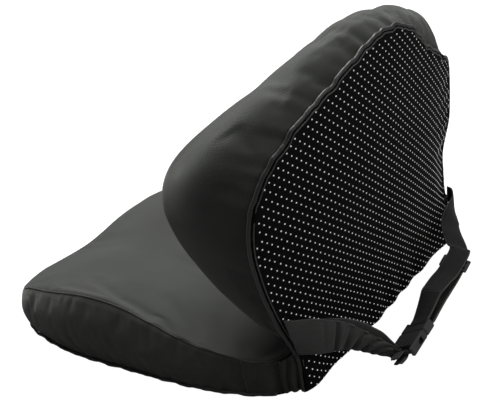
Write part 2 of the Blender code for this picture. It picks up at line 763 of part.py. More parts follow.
# ============================================================= grouping
def attach(parent, names):
    """Parent the named objects without moving them."""
    for name in names:
        ob = bpy.data.objects[name]
        world = ob.matrix_world.copy()
        ob.parent = parent
        ob.matrix_parent_inverse = parent.matrix_world.inverted()
        ob.matrix_world = world


seat_group = empty("seat", Vector((0, 0, 0)))
bpy.context.view_layer.update()
attach(seat_group, ("seat_foam_core", "seat_top_cover", "seat_side_band",
                    "seat_base_panel", "seat_piping", "seat_zip_tape",
                    "seat_zip_start", "hinge_strip"))
attach(fold_axis, ("back_foam_core", "back_front_cover", "back_rear_panel",
                   "back_piping", "back_zip_start", "strap_near_root",
                   "strap_far_root", "strap_axis"))
attach(strap_axis, ("strap_near_elastic", "buckle_frame", "strap_plug_loop",
                    "strap_webbing_outer", "strap_webbing_return", "glide_frame",
                    "arm_axis_upper", "arm_axis_lower"))
bpy.context.view_layer.update()
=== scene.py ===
# Looks for the two-part seat and lumbar support cushion: simulated fabric
# covers, piping, grip-dot panels, gathered strap, webbing and hardware, all
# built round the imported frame.
import json
import math

import bmesh
import bpy
import numpy as np
from mathutils import Matrix, Vector

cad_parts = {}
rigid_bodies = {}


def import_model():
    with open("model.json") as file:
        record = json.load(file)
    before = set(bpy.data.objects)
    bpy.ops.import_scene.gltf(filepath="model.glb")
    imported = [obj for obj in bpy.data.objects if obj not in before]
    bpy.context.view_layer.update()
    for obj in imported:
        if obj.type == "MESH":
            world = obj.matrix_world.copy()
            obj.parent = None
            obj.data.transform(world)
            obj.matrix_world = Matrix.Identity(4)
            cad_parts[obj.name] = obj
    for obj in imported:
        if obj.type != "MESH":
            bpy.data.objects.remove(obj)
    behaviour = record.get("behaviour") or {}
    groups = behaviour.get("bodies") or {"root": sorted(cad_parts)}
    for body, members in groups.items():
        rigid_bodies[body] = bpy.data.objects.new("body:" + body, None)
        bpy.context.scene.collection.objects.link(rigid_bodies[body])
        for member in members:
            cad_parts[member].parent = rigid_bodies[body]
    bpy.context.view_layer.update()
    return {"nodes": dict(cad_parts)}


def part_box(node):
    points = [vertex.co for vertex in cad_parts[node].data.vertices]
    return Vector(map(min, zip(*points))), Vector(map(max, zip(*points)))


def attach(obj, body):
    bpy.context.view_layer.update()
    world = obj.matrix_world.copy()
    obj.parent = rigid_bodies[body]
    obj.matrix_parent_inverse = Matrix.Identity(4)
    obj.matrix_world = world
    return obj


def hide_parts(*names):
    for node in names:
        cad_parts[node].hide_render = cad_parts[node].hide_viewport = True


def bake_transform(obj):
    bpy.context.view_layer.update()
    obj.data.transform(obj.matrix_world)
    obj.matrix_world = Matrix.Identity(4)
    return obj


for ob in list(bpy.data.objects):
    bpy.data.objects.remove(ob, do_unlink=True)
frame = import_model()


rng = np.random.RandomState(7)

# ------------------------------------------------------------ form of the part
RECLINE = math.radians(6.3)
MID = np.array([0.0, .165])
PANEL_OUTLINE = [(0, 306), (18, 305), (38, 299), (60, 292), (86, 281),
                 (112, 271), (135, 257), (155, 241), (170, 223),
                 (180, 200), (184, 172), (182, 143), (178, 112),
                 (172, 82), (165, 58), (161, 40), (163, 22), (165, 8),
                 (164, -6), (150, -14), (110, -18), (60, -18), (0, -18)]
BACK_OUTLINE = [(0, 306), (18, 305), (38, 299), (60, 292), (86, 281),
                (112, 271), (135, 257), (155, 241), (170, 223),
                (180, 200), (184, 172), (182, 143), (178, 112),
                (172, 82), (166, 66), (156, 57), (130, 53), (60, 51),
                (0, 51)]
SEAT_OUTLINE = [(0, -13), (90, -13), (150, -13), (170, -16), (183, -29),
                (193, -49), (207, -88), (220, -140), (230, -190), (239, -240),
                (245, -290), (245, -340), (238, -388), (214, -416),
                (162, -426), (70, -429), (0, -430)]
EDGE_V = [.050, .057, .069, .080, .093, .105, .117, .130, .165, .20, .225,
          .241, .255, .270, .287, .306]
EDGE_D = [.008, .024, .058, .080, .096, .108, .117, .123, .131, .130, .123,
          .113, .101, .088, .079, .071]
MID_V = [.050, .062, .080, .10, .13, .16, .19, .22, .25, .28, .306]
MID_D = [.018, .062, .106, .134, .156, .160, .154, .140, .122, .100, .080]
EDGE_SHARE, EDGE_INSET = .90, .011
BULGE_V = [.05, .10, .16, .20, .24, .28, .306]
BULGE_D = [.004, .006, .007, .009, .017, .020, .017]
WRAP_V = [0, .05, .09, .13, .18, .25, .31]
WRAP_K = [0, .28, .50, .66, .72, .70, .60]
SEAM_Y = [-.425, -.405, -.38, -.35, -.31, -.27, -.23, -.19, -.15, -.118,
          -.084, -.059, -.03, 0]
SEAM_H = [.058, .061, .066, .072, .079, .084, .084, .078, .067, .056, .047,
          .041, .037, .036]
FRONT_X = [0, .03, .058, .083, .106, .128, .148, .167, .185, .21]
FRONT_DIP = [.004, .004, .007, .012, .0155, .0155, .014, .012, .010, .010]
TOP_Y = [-.425, -.39, -.35, -.30, -.24, -.18, -.12, -.06, 0]
TOP_H = [.052, .063, .069, .072, .068, .059, .050, .041, .036]
SEAT_MID = np.array([0.0, -.21])
SEAM_INSET, SEAT_BULGE = .012, .010


def follow(xs, ys, x):
    """Smooth curve through (xs, ys), for an array of x."""
    xs, ys = np.array(xs, float), np.array(ys, float)
    x = np.clip(np.asarray(x, float), xs[0], xs[-1])
    k = np.clip(np.searchsorted(xs, x, side="right") - 1, 0, len(xs) - 2)
    h = np.diff(xs)
    d = np.diff(ys) / h
    m = np.empty(len(xs))
    m[0], m[-1] = d[0], d[-1]
    m[1:-1] = (h[1:] * d[:-1] + h[:-1] * d[1:]) / (h[:-1] + h[1:])
    t = (x - xs[k]) / h[k]
    return ((2 * t**3 - 3 * t**2 + 1) * ys[k]
            + (t**3 - 2 * t**2 + t) * h[k] * m[k]
            + (-2 * t**3 + 3 * t**2) * ys[k + 1]
            + (t**3 - t**2) * h[k] * m[k + 1])


def smooth(x, a=0.0, b=1.0):
    t = np.clip((np.asarray(x, float) - a) / (b - a), 0, 1)
    return t * t * (3 - 2 * t)


def catmull(p, steps, closed=False):
    p = np.array(p, float)
    if closed:
        q = np.vstack([p[-1:], p, p[:2]])
        n = len(p)
    else:
        q = np.vstack([2 * p[0] - p[1], p, 2 * p[-1] - p[-2]])
        n = len(p) - 1
    out = []
    t = np.arange(steps)[:, None] / steps
    for k in range(n):
        a, b, c, d = q[k], q[k + 1], q[k + 2], q[k + 3]
        out.append(.5 * (2 * b + (c - a) * t
                         + (2 * a - 5 * b + 4 * c - d) * t * t
                         + (3 * b - a - 3 * c + d) * t**3))
    if not closed:
        out.append(p[-1:])
    return np.vstack(out)


def even(p, n, closed=False):
    """n points evenly spaced along the polyline p."""
    p = np.vstack([p, p[:1]]) if closed else p
    s = np.r_[0, np.cumsum(np.linalg.norm(np.diff(p, axis=0), axis=1))]
    g = np.linspace(0, s[-1], n, endpoint=not closed)
    return np.stack([np.interp(g, s, p[:, k]) for k in range(p.shape[1])], 1)


def outline(table, n):
    """Closed outline (metres), mirrored in x = 0, n even points."""
    t = np.array(table, float) / 1000
    mirror = np.array([-1, 1])
    q = np.vstack([t[1:2] * mirror, t, t[-2:-1] * mirror])
    fine = []
    s = np.arange(24)[:, None] / 24
    for k in range(len(t) - 1):
        a, b, c, d = q[k], q[k + 1], q[k + 2], q[k + 3]
        fine.append(.5 * (2 * b + (c - a) * s
                          + (2 * a - 5 * b + 4 * c - d) * s * s
                          + (3 * b - a - 3 * c + d) * s**3))
    fine.append(t[-1:])
    half = even(np.vstack(fine), n // 2 + 1)
    return np.vstack([half, half[-2:0:-1] * mirror])


def wrap(x, v):
    far = smooth(-np.asarray(x), .105, .178) * smooth(v, .0, .05) * (
        1 - smooth(v, .085, .150))
    return follow(WRAP_V, WRAP_K, v) * np.asarray(x)**2 + .012 * far


def on_back(x, v, w):
    x, v, w = np.broadcast_arrays(x, v, w)
    s, c = math.sin(RECLINE), math.cos(RECLINE)
    return np.stack([x, v * s - w * c, v * c + w * s], -1)


def waver(q):
    """Gathered run of the piping near the top of the back (metres, outward)."""
    a = np.arctan2(q[..., 0], q[..., 1] - .165)
    k = smooth(q[..., 1], .185, .245)
    return k * (.0008 * np.sin(29 * a + .6) + .0006 * np.sin(47 * a + 2.1)
                + .0003 * np.sin(83 * a))


def settle(loop):
    """The rear seam sags towards one upper corner, as a worn cover does."""
    x, v = loop[:, 0], loop[:, 1]
    drop = (.021 * smooth(-x, .035, .110) * (1 - smooth(-x, .140, .186))
            * smooth(v, .17, .23))
    return np.column_stack([x, v - drop])


def coons(loop, a, b):
    """Grid (b+1, a+1) filling a closed loop of 2(a+b) points."""
    n = len(loop)
    top = loop[(n - a // 2 + np.arange(a + 1)) % n]
    right = loop[(a // 2 + np.arange(b + 1)) % n]
    bottom = loop[(a // 2 + b + a - np.arange(a + 1)) % n]
    left = loop[(a // 2 + b + a + b - np.arange(b + 1)) % n]
    u = np.linspace(0, 1, a + 1)[None, :, None]
    v = np.linspace(0, 1, b + 1)[:, None, None]
    return ((1 - v) * top[None] + v * bottom[None]
            + (1 - u) * left[:, None] + u * right[:, None]
            - (1 - u) * (1 - v) * top[0] - u * (1 - v) * top[-1]
            - (1 - u) * v * bottom[0] - u * v * bottom[-1])


def loop_index(n, a, b):
    """Which loop point each boundary cell of the coons grid is, else -1."""
    g = -np.ones((b + 1, a + 1), int)
    g[0] = (n - a // 2 + np.arange(a + 1)) % n
    g[:, a] = (a // 2 + np.arange(b + 1)) % n
    g[b] = (a // 2 + b + a - np.arange(a + 1)) % n
    g[:, 0] = (a // 2 + b + a + b - np.arange(b + 1)) % n
    return g


# ------------------------------------------------------------------- meshes
def make(name, verts, faces, mat, uv=None, shade=True):
    me = bpy.data.meshes.new(name)
    me.from_pydata([tuple(map(float, p)) for p in verts], [],
                   [tuple(map(int, f)) for f in faces])
    me.validate()
    if uv is not None:
        lay = me.uv_layers.new(name="UVMap")
        idx = np.empty(len(me.loops), int)
        me.loops.foreach_get("vertex_index", idx)
        lay.data.foreach_set("uv", np.asarray(uv, float)[idx].ravel())
    if shade:
        me.shade_smooth()
    me.materials.append(mat)
    ob = bpy.data.objects.new(name, me)
    bpy.context.scene.collection.objects.link(ob)
    return ob


def face_out(ob):
    bm = bmesh.new()
    bm.from_mesh(ob.data)
    bmesh.ops.recalc_face_normals(bm, faces=bm.faces)
    bm.to_mesh(ob.data)
    bm.free()
    return ob


def grid_normals(P):
    du = np.gradient(P, axis=1)
    dv = np.gradient(P, axis=0)
    n = np.cross(du, dv)
    return n / np.maximum(np.linalg.norm(n, axis=-1, keepdims=True), 1e-12)


def slab(name, P, thick, mat, uv=None):
    """Closed thin sheet over the grid of points P."""
    m, n = P.shape[:2]
    N = grid_normals(P)
    t = np.broadcast_to(np.asarray(thick, float), (m, n))[..., None]
    V = np.vstack([(P + N * t / 2).reshape(-1, 3),
                   (P - N * t / 2).reshape(-1, 3)])
    i = np.arange(m * n).reshape(m, n)
    q = np.stack([i[:-1, :-1], i[:-1, 1:], i[1:, 1:], i[1:, :-1]],
                 -1).reshape(-1, 4)
    F = [q, q[:, ::-1] + m * n]
    rim = np.r_[i[0, :-1], i[:-1, -1], i[-1, :0:-1], i[:0:-1, 0]]
    nxt = np.roll(rim, -1)
    F.append(np.stack([nxt, rim, rim + m * n, nxt + m * n], 1))
    if uv is not None:
        uv = np.vstack([uv.reshape(-1, 2), uv.reshape(-1, 2)])
    return face_out(make(name, V, np.vstack(F), mat, uv))


def tube_data(P, r, sides=10, closed=False, cap=True):
    """Vertices, faces and (along, round) of a tube along P."""
    P = np.asarray(P, float)
    n = len(P)
    r = np.broadcast_to(np.asarray(r, float), n)
    if closed:
        T = np.roll(P, -1, 0) - np.roll(P, 1, 0)
    else:
        T = np.gradient(P, axis=0)
    T /= np.maximum(np.linalg.norm(T, axis=1, keepdims=True), 1e-12)
    up = np.array([0, 0, 1.0]) if abs(T[0, 2]) < .9 else np.array([1.0, 0, 0])
    A = np.zeros_like(P)
    a = np.cross(T[0], up)
    for k in range(n):
        a = a - T[k] * (a @ T[k])
        a /= np.linalg.norm(a)
        A[k] = a
    B = np.cross(T, A)
    th = np.arange(sides) * 2 * math.pi / sides
    V = (P[:, None] + r[:, None, None] * (A[:, None] * np.cos(th)[None, :, None]
                                          + B[:, None] * np.sin(th)[None, :, None]))
    i = np.arange(n * sides).reshape(n, sides)
    m = n if closed else n - 1
    F = []
    for k in range(m):
        x, y = i[k], i[(k + 1) % n]
        F.append(np.stack([x, np.roll(x, -1), np.roll(y, -1), y], 1))
    F = np.vstack(F).tolist()
    V = V.reshape(-1, 3)
    s = np.r_[0, np.cumsum(np.linalg.norm(np.diff(P, axis=0), axis=1))]
    uv = np.stack([np.repeat(s, sides), np.tile(th * .002, n)], 1)
    if not closed and cap:
        F.append(list(i[0][::-1]))
        F.append(list(i[-1]))
    return V, F, uv


def tubes(name, runs, mat):
    V, F, U = [], [], []
    off = 0
    for run in runs:
        v, f, u = tube_data(*run[:2], **(run[2] if len(run) > 2 else {}))
        V.append(v)
        U.append(u)
        F += [[j + off for j in g] for g in f]
        off += len(v)
    return face_out(make(name, np.vstack(V), F, mat, np.vstack(U)))


def domes(name, P, N, r, h, mat, sides=8):
    """Small printed dots: closed low domes at P, standing along N."""
    k = np.abs(N[:, 2:3]) < .9
    ref = np.where(k, np.array([[0, 0, 1.0]]), np.array([[1.0, 0, 0]]))
    A = np.cross(N, ref)
    A /= np.linalg.norm(A, axis=1, keepdims=True)
    B = np.cross(N, A)
    th = np.arange(sides) * 2 * math.pi / sides
    ring = (A[:, None] * np.cos(th)[None, :, None]
            + B[:, None] * np.sin(th)[None, :, None])
    r = r * np.ones(len(P))
    r1 = r[:, None, None]
    a = P[:, None] + ring * r1 - N[:, None] * .00025
    b = P[:, None] + ring * r1 * .93 + N[:, None] * h * .55
    c = P[:, None] + ring * r1 * .55 + N[:, None] * h * .92
    V = np.concatenate([a, b, c], 1).reshape(-1, 3)
    m = len(P)
    base = (np.arange(m) * 3 * sides)[:, None]
    j = np.arange(sides)
    jn = (j + 1) % sides
    F = []
    for lo, hi in ((0, sides), (sides, 2 * sides)):
        quad = np.stack([lo + j, lo + jn, hi + jn, hi + j], 1)
        F.append((base[:, :, None] + quad[None]).reshape(-1, 4))
    faces = np.vstack(F).tolist()
    faces += (base + 2 * sides + j[None]).tolist()
    faces += (base + j[None, ::-1]).tolist()
    return make(name, V, faces, mat)


def bake(ob):
    dg = bpy.context.evaluated_depsgraph_get()
    me = bpy.data.meshes.new_from_object(ob.evaluated_get(dg))
    ob.modifiers.clear()
    ob.data = me
    return ob


def coords(ob):
    co = np.empty(len(ob.data.vertices) * 3)
    ob.data.vertices.foreach_get("co", co)
    return co.reshape(-1, 3)


def set_coords(ob, co):
    ob.data.vertices.foreach_set("co", np.asarray(co, float).ravel())
    ob.data.update()


def normals(ob):
    no = np.empty(len(ob.data.vertices) * 3)
    ob.data.vertices.foreach_get("normal", no)
    return no.reshape(-1, 3)


def relax(ob, values, times):
    """Average a per-vertex field over its neighbours."""
    e = np.empty(len(ob.data.edges) * 2, int)
    ob.data.edges.foreach_get("vertices", e)
    e = e.reshape(-1, 2)
    deg = np.bincount(e.ravel(), minlength=len(values)).astype(float)
    for _ in range(times):
        acc = np.zeros_like(values)
        np.add.at(acc, e[:, 0], values[e[:, 1]])
        np.add.at(acc, e[:, 1], values[e[:, 0]])
        values = .5 * values + .5 * acc / deg[:, None]
    return values


def inflate(ob, pin, cap, pressure=4.0, slack=.02, keep=.35):
    """Cloth under pressure between held seams, then the move is capped."""
    rest = coords(ob)
    work = bpy.data.objects.new(ob.name + "_cloth", ob.data.copy())
    bpy.context.scene.collection.objects.link(work)
    g = work.vertex_groups.new(name="pin")
    for w in (1.0, .6, .25):
        ids = np.nonzero(np.isclose(pin, w))[0]
        if len(ids):
            g.add([int(i) for i in ids], w, "REPLACE")
    m = work.modifiers.new("Cloth", "CLOTH")
    s = m.settings
    s.quality = 5
    s.mass = .25
    s.air_damping = 3
    s.tension_stiffness = 18
    s.compression_stiffness = 12
    s.shear_stiffness = 6
    s.bending_stiffness = .35
    s.use_pressure = True
    s.uniform_pressure_force = pressure
    s.effector_weights.gravity = 0
    s.shrink_min = -slack
    s.vertex_group_mass = "pin"
    m.collision_settings.use_collision = False
    scene = bpy.context.scene
    scene.frame_start, scene.frame_end = 1, 20
    m.point_cache.frame_start, m.point_cache.frame_end = 1, 20
    for f in range(1, 21):
        scene.frame_set(f)
    dg = bpy.context.evaluated_depsgraph_get()
    me = work.evaluated_get(dg).to_mesh()
    co = np.empty(len(me.vertices) * 3)
    me.vertices.foreach_get("co", co)
    co = co.reshape(-1, 3)
    work.evaluated_get(dg).to_mesh_clear()
    move = np.nan_to_num(co - rest)
    scene.frame_set(1)
    bpy.data.objects.remove(work, do_unlink=True)
    far = np.linalg.norm(move, axis=1, keepdims=True)
    move *= np.minimum(1, 2.5 * cap / np.maximum(far, 1e-9))
    low = relax(ob, move, 30)
    fine = move - low
    far = np.linalg.norm(low, axis=1, keepdims=True)
    low *= np.minimum(1, cap / np.maximum(far, 1e-9))
    move = fine + keep * low
    far = np.linalg.norm(move, axis=1, keepdims=True)
    move *= np.minimum(1, cap / np.maximum(far, 1e-9))
    print(ob.name, "cloth moved mm: mean %.2f fine %.2f max %.2f" % (
        1000 * np.linalg.norm(move, axis=1).mean(),
        1000 * np.linalg.norm(fine, axis=1).mean(),
        1000 * np.linalg.norm(move, axis=1).max()))
    set_coords(ob, rest + move)
    return ob


# ---------------------------------------------------------------- materials
class Tree:
    """A short way to write shader nodes."""

    def __init__(self, name):
        self.m = bpy.data.materials.new(name)
        self.m.use_nodes = True
        self.t = self.m.node_tree
        self.p = self.t.nodes["Principled BSDF"]

    def n(self, kind, **kw):
        node = self.t.nodes.new(kind)
        for k, v in kw.items():
            setattr(node, k, v)
        return node

    def link(self, a, b):
        self.t.links.new(a, b)

    def put(self, socket, v):
        if hasattr(v, "links"):
            self.link(v, socket)
        else:
            socket.default_value = v

    def math(self, op, a, b=0.0, c=None):
        node = self.n("ShaderNodeMath", operation=op)
        self.put(node.inputs[0], a)
        self.put(node.inputs[1], b)
        if c is not None:
            self.put(node.inputs[2], c)
        return node.outputs[0]

    def noise(self, vec, scale, detail=3.0, rough=.55):
        node = self.n("ShaderNodeTexNoise")
        self.link(vec, node.inputs["Vector"])
        node.inputs["Scale"].default_value = scale
        node.inputs["Detail"].default_value = detail
        node.inputs["Roughness"].default_value = rough
        return node.outputs["Fac"]

    def ramp(self, fac, stops):
        node = self.n("ShaderNodeValToRGB")
        el = node.color_ramp.elements
        while len(el) < len(stops):
            el.new(.5)
        for e, (pos, col) in zip(el, stops):
            e.position = pos
            e.color = (*col, 1)
        self.put(node.inputs[0], fac)
        return node.outputs["Color"]

    def mix(self, fac, a, b, kind="MIX"):
        node = self.n("ShaderNodeMix", data_type="RGBA", blend_type=kind)
        self.put(node.inputs[0], fac)
        for s, v in ((node.inputs[6], a), (node.inputs[7], b)):
            if isinstance(v, tuple):
                s.default_value = (*v, 1)
            else:
                self.link(v, s)
        return node.outputs[2]

    def bump(self, height, dist, strength=1.0, normal=None):
        node = self.n("ShaderNodeBump")
        node.inputs["Strength"].default_value = strength
        node.inputs["Distance"].default_value = dist
        self.link(height, node.inputs["Height"])
        if normal:
            self.link(normal, node.inputs["Normal"])
        return node.outputs[0]

    def objpos(self):
        return self.n("ShaderNodeTexCoord").outputs["Object"]

    def set(self, **kw):
        for k, v in kw.items():
            self.put(self.p.inputs[k.replace("_", " ")], v)


def knit_height(t, pos, pitch, row, slant=.30):
    """Stretch knit: wales of little slanted stitches, on every facing."""
    geo = t.n("ShaderNodeNewGeometry").outputs["Normal"]
    tc = t.n("ShaderNodeVectorTransform", vector_type="NORMAL",
             convert_from="WORLD", convert_to="OBJECT")
    t.link(geo, tc.inputs[0])
    sn = t.n("ShaderNodeSeparateXYZ")
    t.link(tc.outputs[0], sn.inputs[0])
    sp = t.n("ShaderNodeSeparateXYZ")
    t.link(pos, sp.inputs[0])
    x, y, z = sp.outputs

    def plane(a, b):
        u = t.math("MULTIPLY", a, 1 / pitch)
        v = t.math("MULTIPLY", b, 1 / row)
        tri = t.math("PINGPONG", v, .5)
        half = t.math("PINGPONG", u, .5)
        lean = t.math("MULTIPLY", half, slant * 2)
        stitch = t.math("SINE", t.math("MULTIPLY",
                                       t.math("ADD", v, lean), 2 * math.pi))
        wale = t.math("SINE", t.math("MULTIPLY", u, 2 * math.pi))
        a1 = t.math("MULTIPLY", stitch, .30)
        a2 = t.math("MULTIPLY", wale, .45)
        s = t.math("ADD", t.math("ADD", a1, a2), .5)
        return t.math("ADD", s, t.math("MULTIPLY", tri, .15))

    wx = t.math("POWER", t.math("ABSOLUTE", sn.outputs[0]), 6)
    wy = t.math("POWER", t.math("ABSOLUTE", sn.outputs[1]), 6)
    wz = t.math("POWER", t.math("ABSOLUTE", sn.outputs[2]), 6)
    tot = t.math("ADD", t.math("ADD", wx, wy), wz)
    hx = t.math("MULTIPLY", plane(y, z), wx)
    hy = t.math("MULTIPLY", plane(x, z), wy)
    hz = t.math("MULTIPLY", plane(x, y), wz)
    return t.math("DIVIDE", t.math("ADD", t.math("ADD", hx, hy), hz), tot)


def knit(name, dark, light, pitch=.0011, row=.0009, depth=.00022, sheen=.45,
         tint=((.046, .050, .044), (.052, .049, .047)), rough=.78):
    t = Tree(name)
    pos = t.objpos()
    h = knit_height(t, pos, pitch, row)
    fuzz = t.noise(pos, 1800, 2)
    broad = t.noise(pos, 11, 3)
    patch = t.noise(pos, 46, 4)
    base = t.mix(t.ramp(broad, [(.35, (0, 0, 0)), (.68, (1, 1, 1))]),
                 dark, light)
    base = t.mix(t.math("MULTIPLY", t.math("SUBTRACT", patch, .35), .55),
                 base, tint[0])
    base = t.mix(t.math("MULTIPLY", t.math("SUBTRACT", broad, .45), .6),
                 base, tint[1])
    groove = t.ramp(h, [(.1, (.60, .60, .60)), (.75, (1.06, 1.06, 1.06))])
    base = t.mix(1.0, base, groove, "MULTIPLY")
    speck = t.ramp(fuzz, [(.35, (.86, .86, .86)), (.70, (1.12, 1.12, 1.12))])
    base = t.mix(.7, base, speck, "MULTIPLY")
    # slightly paler where the fabric is proud: painted highlight on the convex edges
    point = t.n("ShaderNodeNewGeometry").outputs["Pointiness"]
    pale_edges = t.ramp(point, [(.49, (0, 0, 0)), (.56, (1, 1, 1))])
    base = t.mix(t.math("MULTIPLY", pale_edges, .22), base, (.095, .096, .092))
    b1 = t.bump(patch, .0010, .22)
    b2 = t.bump(fuzz, .00010, .35, b1)
    nor = t.bump(h, depth, .75, b2)
    t.set(Base_Color=base, Normal=nor,
          Roughness=t.math("ADD", t.math("MULTIPLY", broad, .10), rough - .05))
    t.p.inputs["Sheen Weight"].default_value = sheen
    t.p.inputs["Sheen Roughness"].default_value = .42
    t.p.inputs["Sheen Tint"].default_value = (.86, .88, .84, 1)
    t.p.inputs["Specular IOR Level"].default_value = .28
    return t.m


def grip_fabric(name):
    """Tight black plain weave under the grip dots."""
    t = Tree(name)
    pos = t.objpos()
    h = knit_height(t, pos, .0009, .0009, .5)
    fuzz = t.noise(pos, 2400, 2)
    broad = t.noise(pos, 9, 3)
    base = t.mix(broad, (.0020, .0020, .0021), (.0046, .0047, .0044))
    base = t.mix(1.0, base, t.ramp(h, [(.15, (.55, .55, .55)),
                                       (.8, (1.3, 1.3, 1.3))]), "MULTIPLY")
    base = t.mix(t.ramp(fuzz, [(.60, (0, 0, 0)), (.78, (.4, .4, .4))]),
                 base, (.035, .035, .034))
    nor = t.bump(h, .00018, .6, t.bump(broad, .0012, .25))
    t.set(Base_Color=base, Normal=nor, Roughness=.82)
    t.p.inputs["Sheen Weight"].default_value = .02
    t.p.inputs["Sheen Roughness"].default_value = .5
    t.p.inputs["Specular IOR Level"].default_value = .12
    return t.m


def dot_rubber(name):
    t = Tree(name)
    pos = t.objpos()
    n = t.noise(pos, 900, 2)
    w = t.noise(pos, 24, 3)
    base = t.mix(n, (.78, .79, .78), (.92, .93, .92))
    base = t.mix(t.math("MULTIPLY", w, .35), base, (.55, .56, .55))
    t.set(Base_Color=base, Roughness=.42,
          Normal=t.bump(n, .00006, .5))
    # the dots glow a little: painted light that makes the white print brighter
    t.put(t.p.inputs["Emission Color"], (1, 1, 1, 1))
    t.put(t.p.inputs["Emission Strength"], .32)
    return t.m


def webbing(name, dark, light, width=.022, rib=.00155, edge=True):
    """Woven tape: herringbone ribs across, paler selvedge lines painted on as a highlight
    along the edges.  UV in metres.
    """
    t = Tree(name)
    uv = t.n("ShaderNodeTexCoord").outputs["UV"]
    pos = t.objpos()
    s = t.n("ShaderNodeSeparateXYZ")
    t.link(uv, s.inputs[0])
    u, v = s.outputs[0], s.outputs[1]
    zig = t.math("PINGPONG", t.math("MULTIPLY", v, 1 / (width / 6)), 1.0)
    ribs = t.math("SINE", t.math("MULTIPLY", t.math("ADD", t.math(
        "MULTIPLY", u, 1 / rib), t.math("MULTIPLY", zig, .55)), 2 * math.pi))
    warp = t.math("SINE", t.math("MULTIPLY", v, 2 * math.pi / .0011))
    h = t.math("ADD", t.math("MULTIPLY", ribs, .35),
               t.math("ADD", t.math("MULTIPLY", warp, .15), .5))
    fuzz = t.noise(pos, 1500, 2)
    broad = t.noise(pos, 40, 3)
    base = t.mix(broad, dark, light)
    base = t.mix(1.0, base, t.ramp(h, [(.2, (.62, .62, .62)),
                                       (.8, (1.25, 1.25, 1.25))]), "MULTIPLY")
    base = t.mix(t.math("MULTIPLY", fuzz, .35), base, light)
    # paler selvedge lines: painted highlight along the tape's edges
    if edge:
        sel = t.math("GREATER_THAN", t.math("ABSOLUTE", v), width / 2 - .0010)
        base = t.mix(t.math("MULTIPLY", sel, .75), base, (.105, .106, .100))
    nor = t.bump(h, .00030, .8, t.bump(fuzz, .0001, .3))
    t.set(Base_Color=base, Normal=nor, Roughness=.70)
    t.p.inputs["Sheen Weight"].default_value = .16
    t.p.inputs["Specular IOR Level"].default_value = .32
    return t.m


def cord_mat(name, dark=(.010, .011, .010), light=(.024, .025, .023)):
    """Piping: smooth bias-cut cover with slanting stitch dimples."""
    t = Tree(name)
    uv = t.n("ShaderNodeTexCoord").outputs["UV"]
    pos = t.objpos()
    s = t.n("ShaderNodeSeparateXYZ")
    t.link(uv, s.inputs[0])
    st = t.math("SINE", t.math("MULTIPLY", t.math(
        "ADD", t.math("MULTIPLY", s.outputs[0], 1 / .0034),
        t.math("MULTIPLY", s.outputs[1], 60)), 2 * math.pi))
    n = t.noise(pos, 260, 3)
    fine = t.noise(pos, 1700, 2)
    base = t.mix(n, dark, light)
    base = t.mix(t.math("MULTIPLY", fine, .25), base, (.060, .061, .058))
    h = t.math("ADD", t.math("MULTIPLY", st, .2), n)
    t.set(Base_Color=base, Roughness=t.math("ADD", t.math(
        "MULTIPLY", n, .18), .34), Normal=t.bump(h, .00025, .6))
    t.p.inputs["Sheen Weight"].default_value = .25
    return t.m


def plastic(name, dark=(.012, .012, .013), light=(.022, .022, .023)):
    """Moulded plastic: fine spark texture, paler at the edges as a painted highlight."""
    t = Tree(name)
    pos = t.objpos()
    grain = t.noise(pos, 2600, 2)
    smear = t.noise(pos, 150, 4)
    point = t.n("ShaderNodeNewGeometry").outputs["Pointiness"]
    base = t.mix(smear, dark, light)
    # paler at the sharp edges: painted highlight
    pale_edges = t.ramp(point, [(.50, (0, 0, 0)), (.60, (1, 1, 1))])
    base = t.mix(t.math("MULTIPLY", pale_edges, .5), base, (.085, .086, .088))
    t.set(Base_Color=base, Normal=t.bump(grain, .00005, .5),
          Roughness=t.math("ADD", t.math("MULTIPLY", smear, .22), .26))
    return t.m


def metal(name):
    t = Tree(name)
    pos = t.objpos()
    n = t.noise(pos, 420, 3)
    point = t.n("ShaderNodeNewGeometry").outputs["Pointiness"]
    base = t.mix(n, (.060, .060, .064), (.115, .115, .12))
    pale_edges = t.ramp(point, [(.50, (0, 0, 0)), (.58, (1, 1, 1))])
    base = t.mix(t.math("MULTIPLY", pale_edges, .6), base, (.42, .42, .43))
    t.set(Base_Color=base, Metallic=.85, Normal=t.bump(n, .00006, .4),
          Roughness=t.math("ADD", t.math("MULTIPLY", n, .25), .22))
    return t.m


KNIT = knit("charcoal_knit", (.034, .037, .033), (.054, .058, .051),
            sheen=.32)
# darker copy of the knit: painted shade on the hinge webs in the fold, and the darker line of
# the seam welts
KNIT_SHADE_AND_SEAM = knit("charcoal_knit_web", (.022, .023, .021), (.034, .036, .033),
                 sheen=.30)
GRIP = grip_fabric("grip_fabric")
DOTS = dot_rubber("grip_dots")
CORD = cord_mat("piping_cord")
# paler copy of the cord material: painted highlight along the piping
FLANGE_HIGHLIGHT = cord_mat("piping_flange", (.040, .041, .039), (.085, .087, .083))
WEB = webbing("webbing", (.0075, .0080, .0075), (.020, .021, .019))
ELASTIC = webbing("gathered_elastic", (.050, .053, .049), (.092, .096, .090),
                  width=.046, rib=.0013, edge=False)
ZIPTAPE = webbing("zip_tape", (.010, .010, .011), (.020, .020, .021),
                  width=.014, rib=.0010, edge=False)
PLASTIC = plastic("black_plastic", (.030, .031, .030), (.052, .053, .051))
TEETH = plastic("zip_teeth", (.018, .018, .019), (.034, .034, .036))
METAL = metal("zip_metal")

# ============================================================= back cushion
A, B = 64, 52
N = 2 * (A + B)


def edge_fields(loop):
    d = loop - MID
    d /= np.linalg.norm(d, axis=1, keepdims=True)
    e = follow(EDGE_V, EDGE_D, loop[:, 1]) * EDGE_SHARE
    f = loop - d * (EDGE_INSET * np.clip(e / .05, .3, 1))[:, None]
    return d, e, f


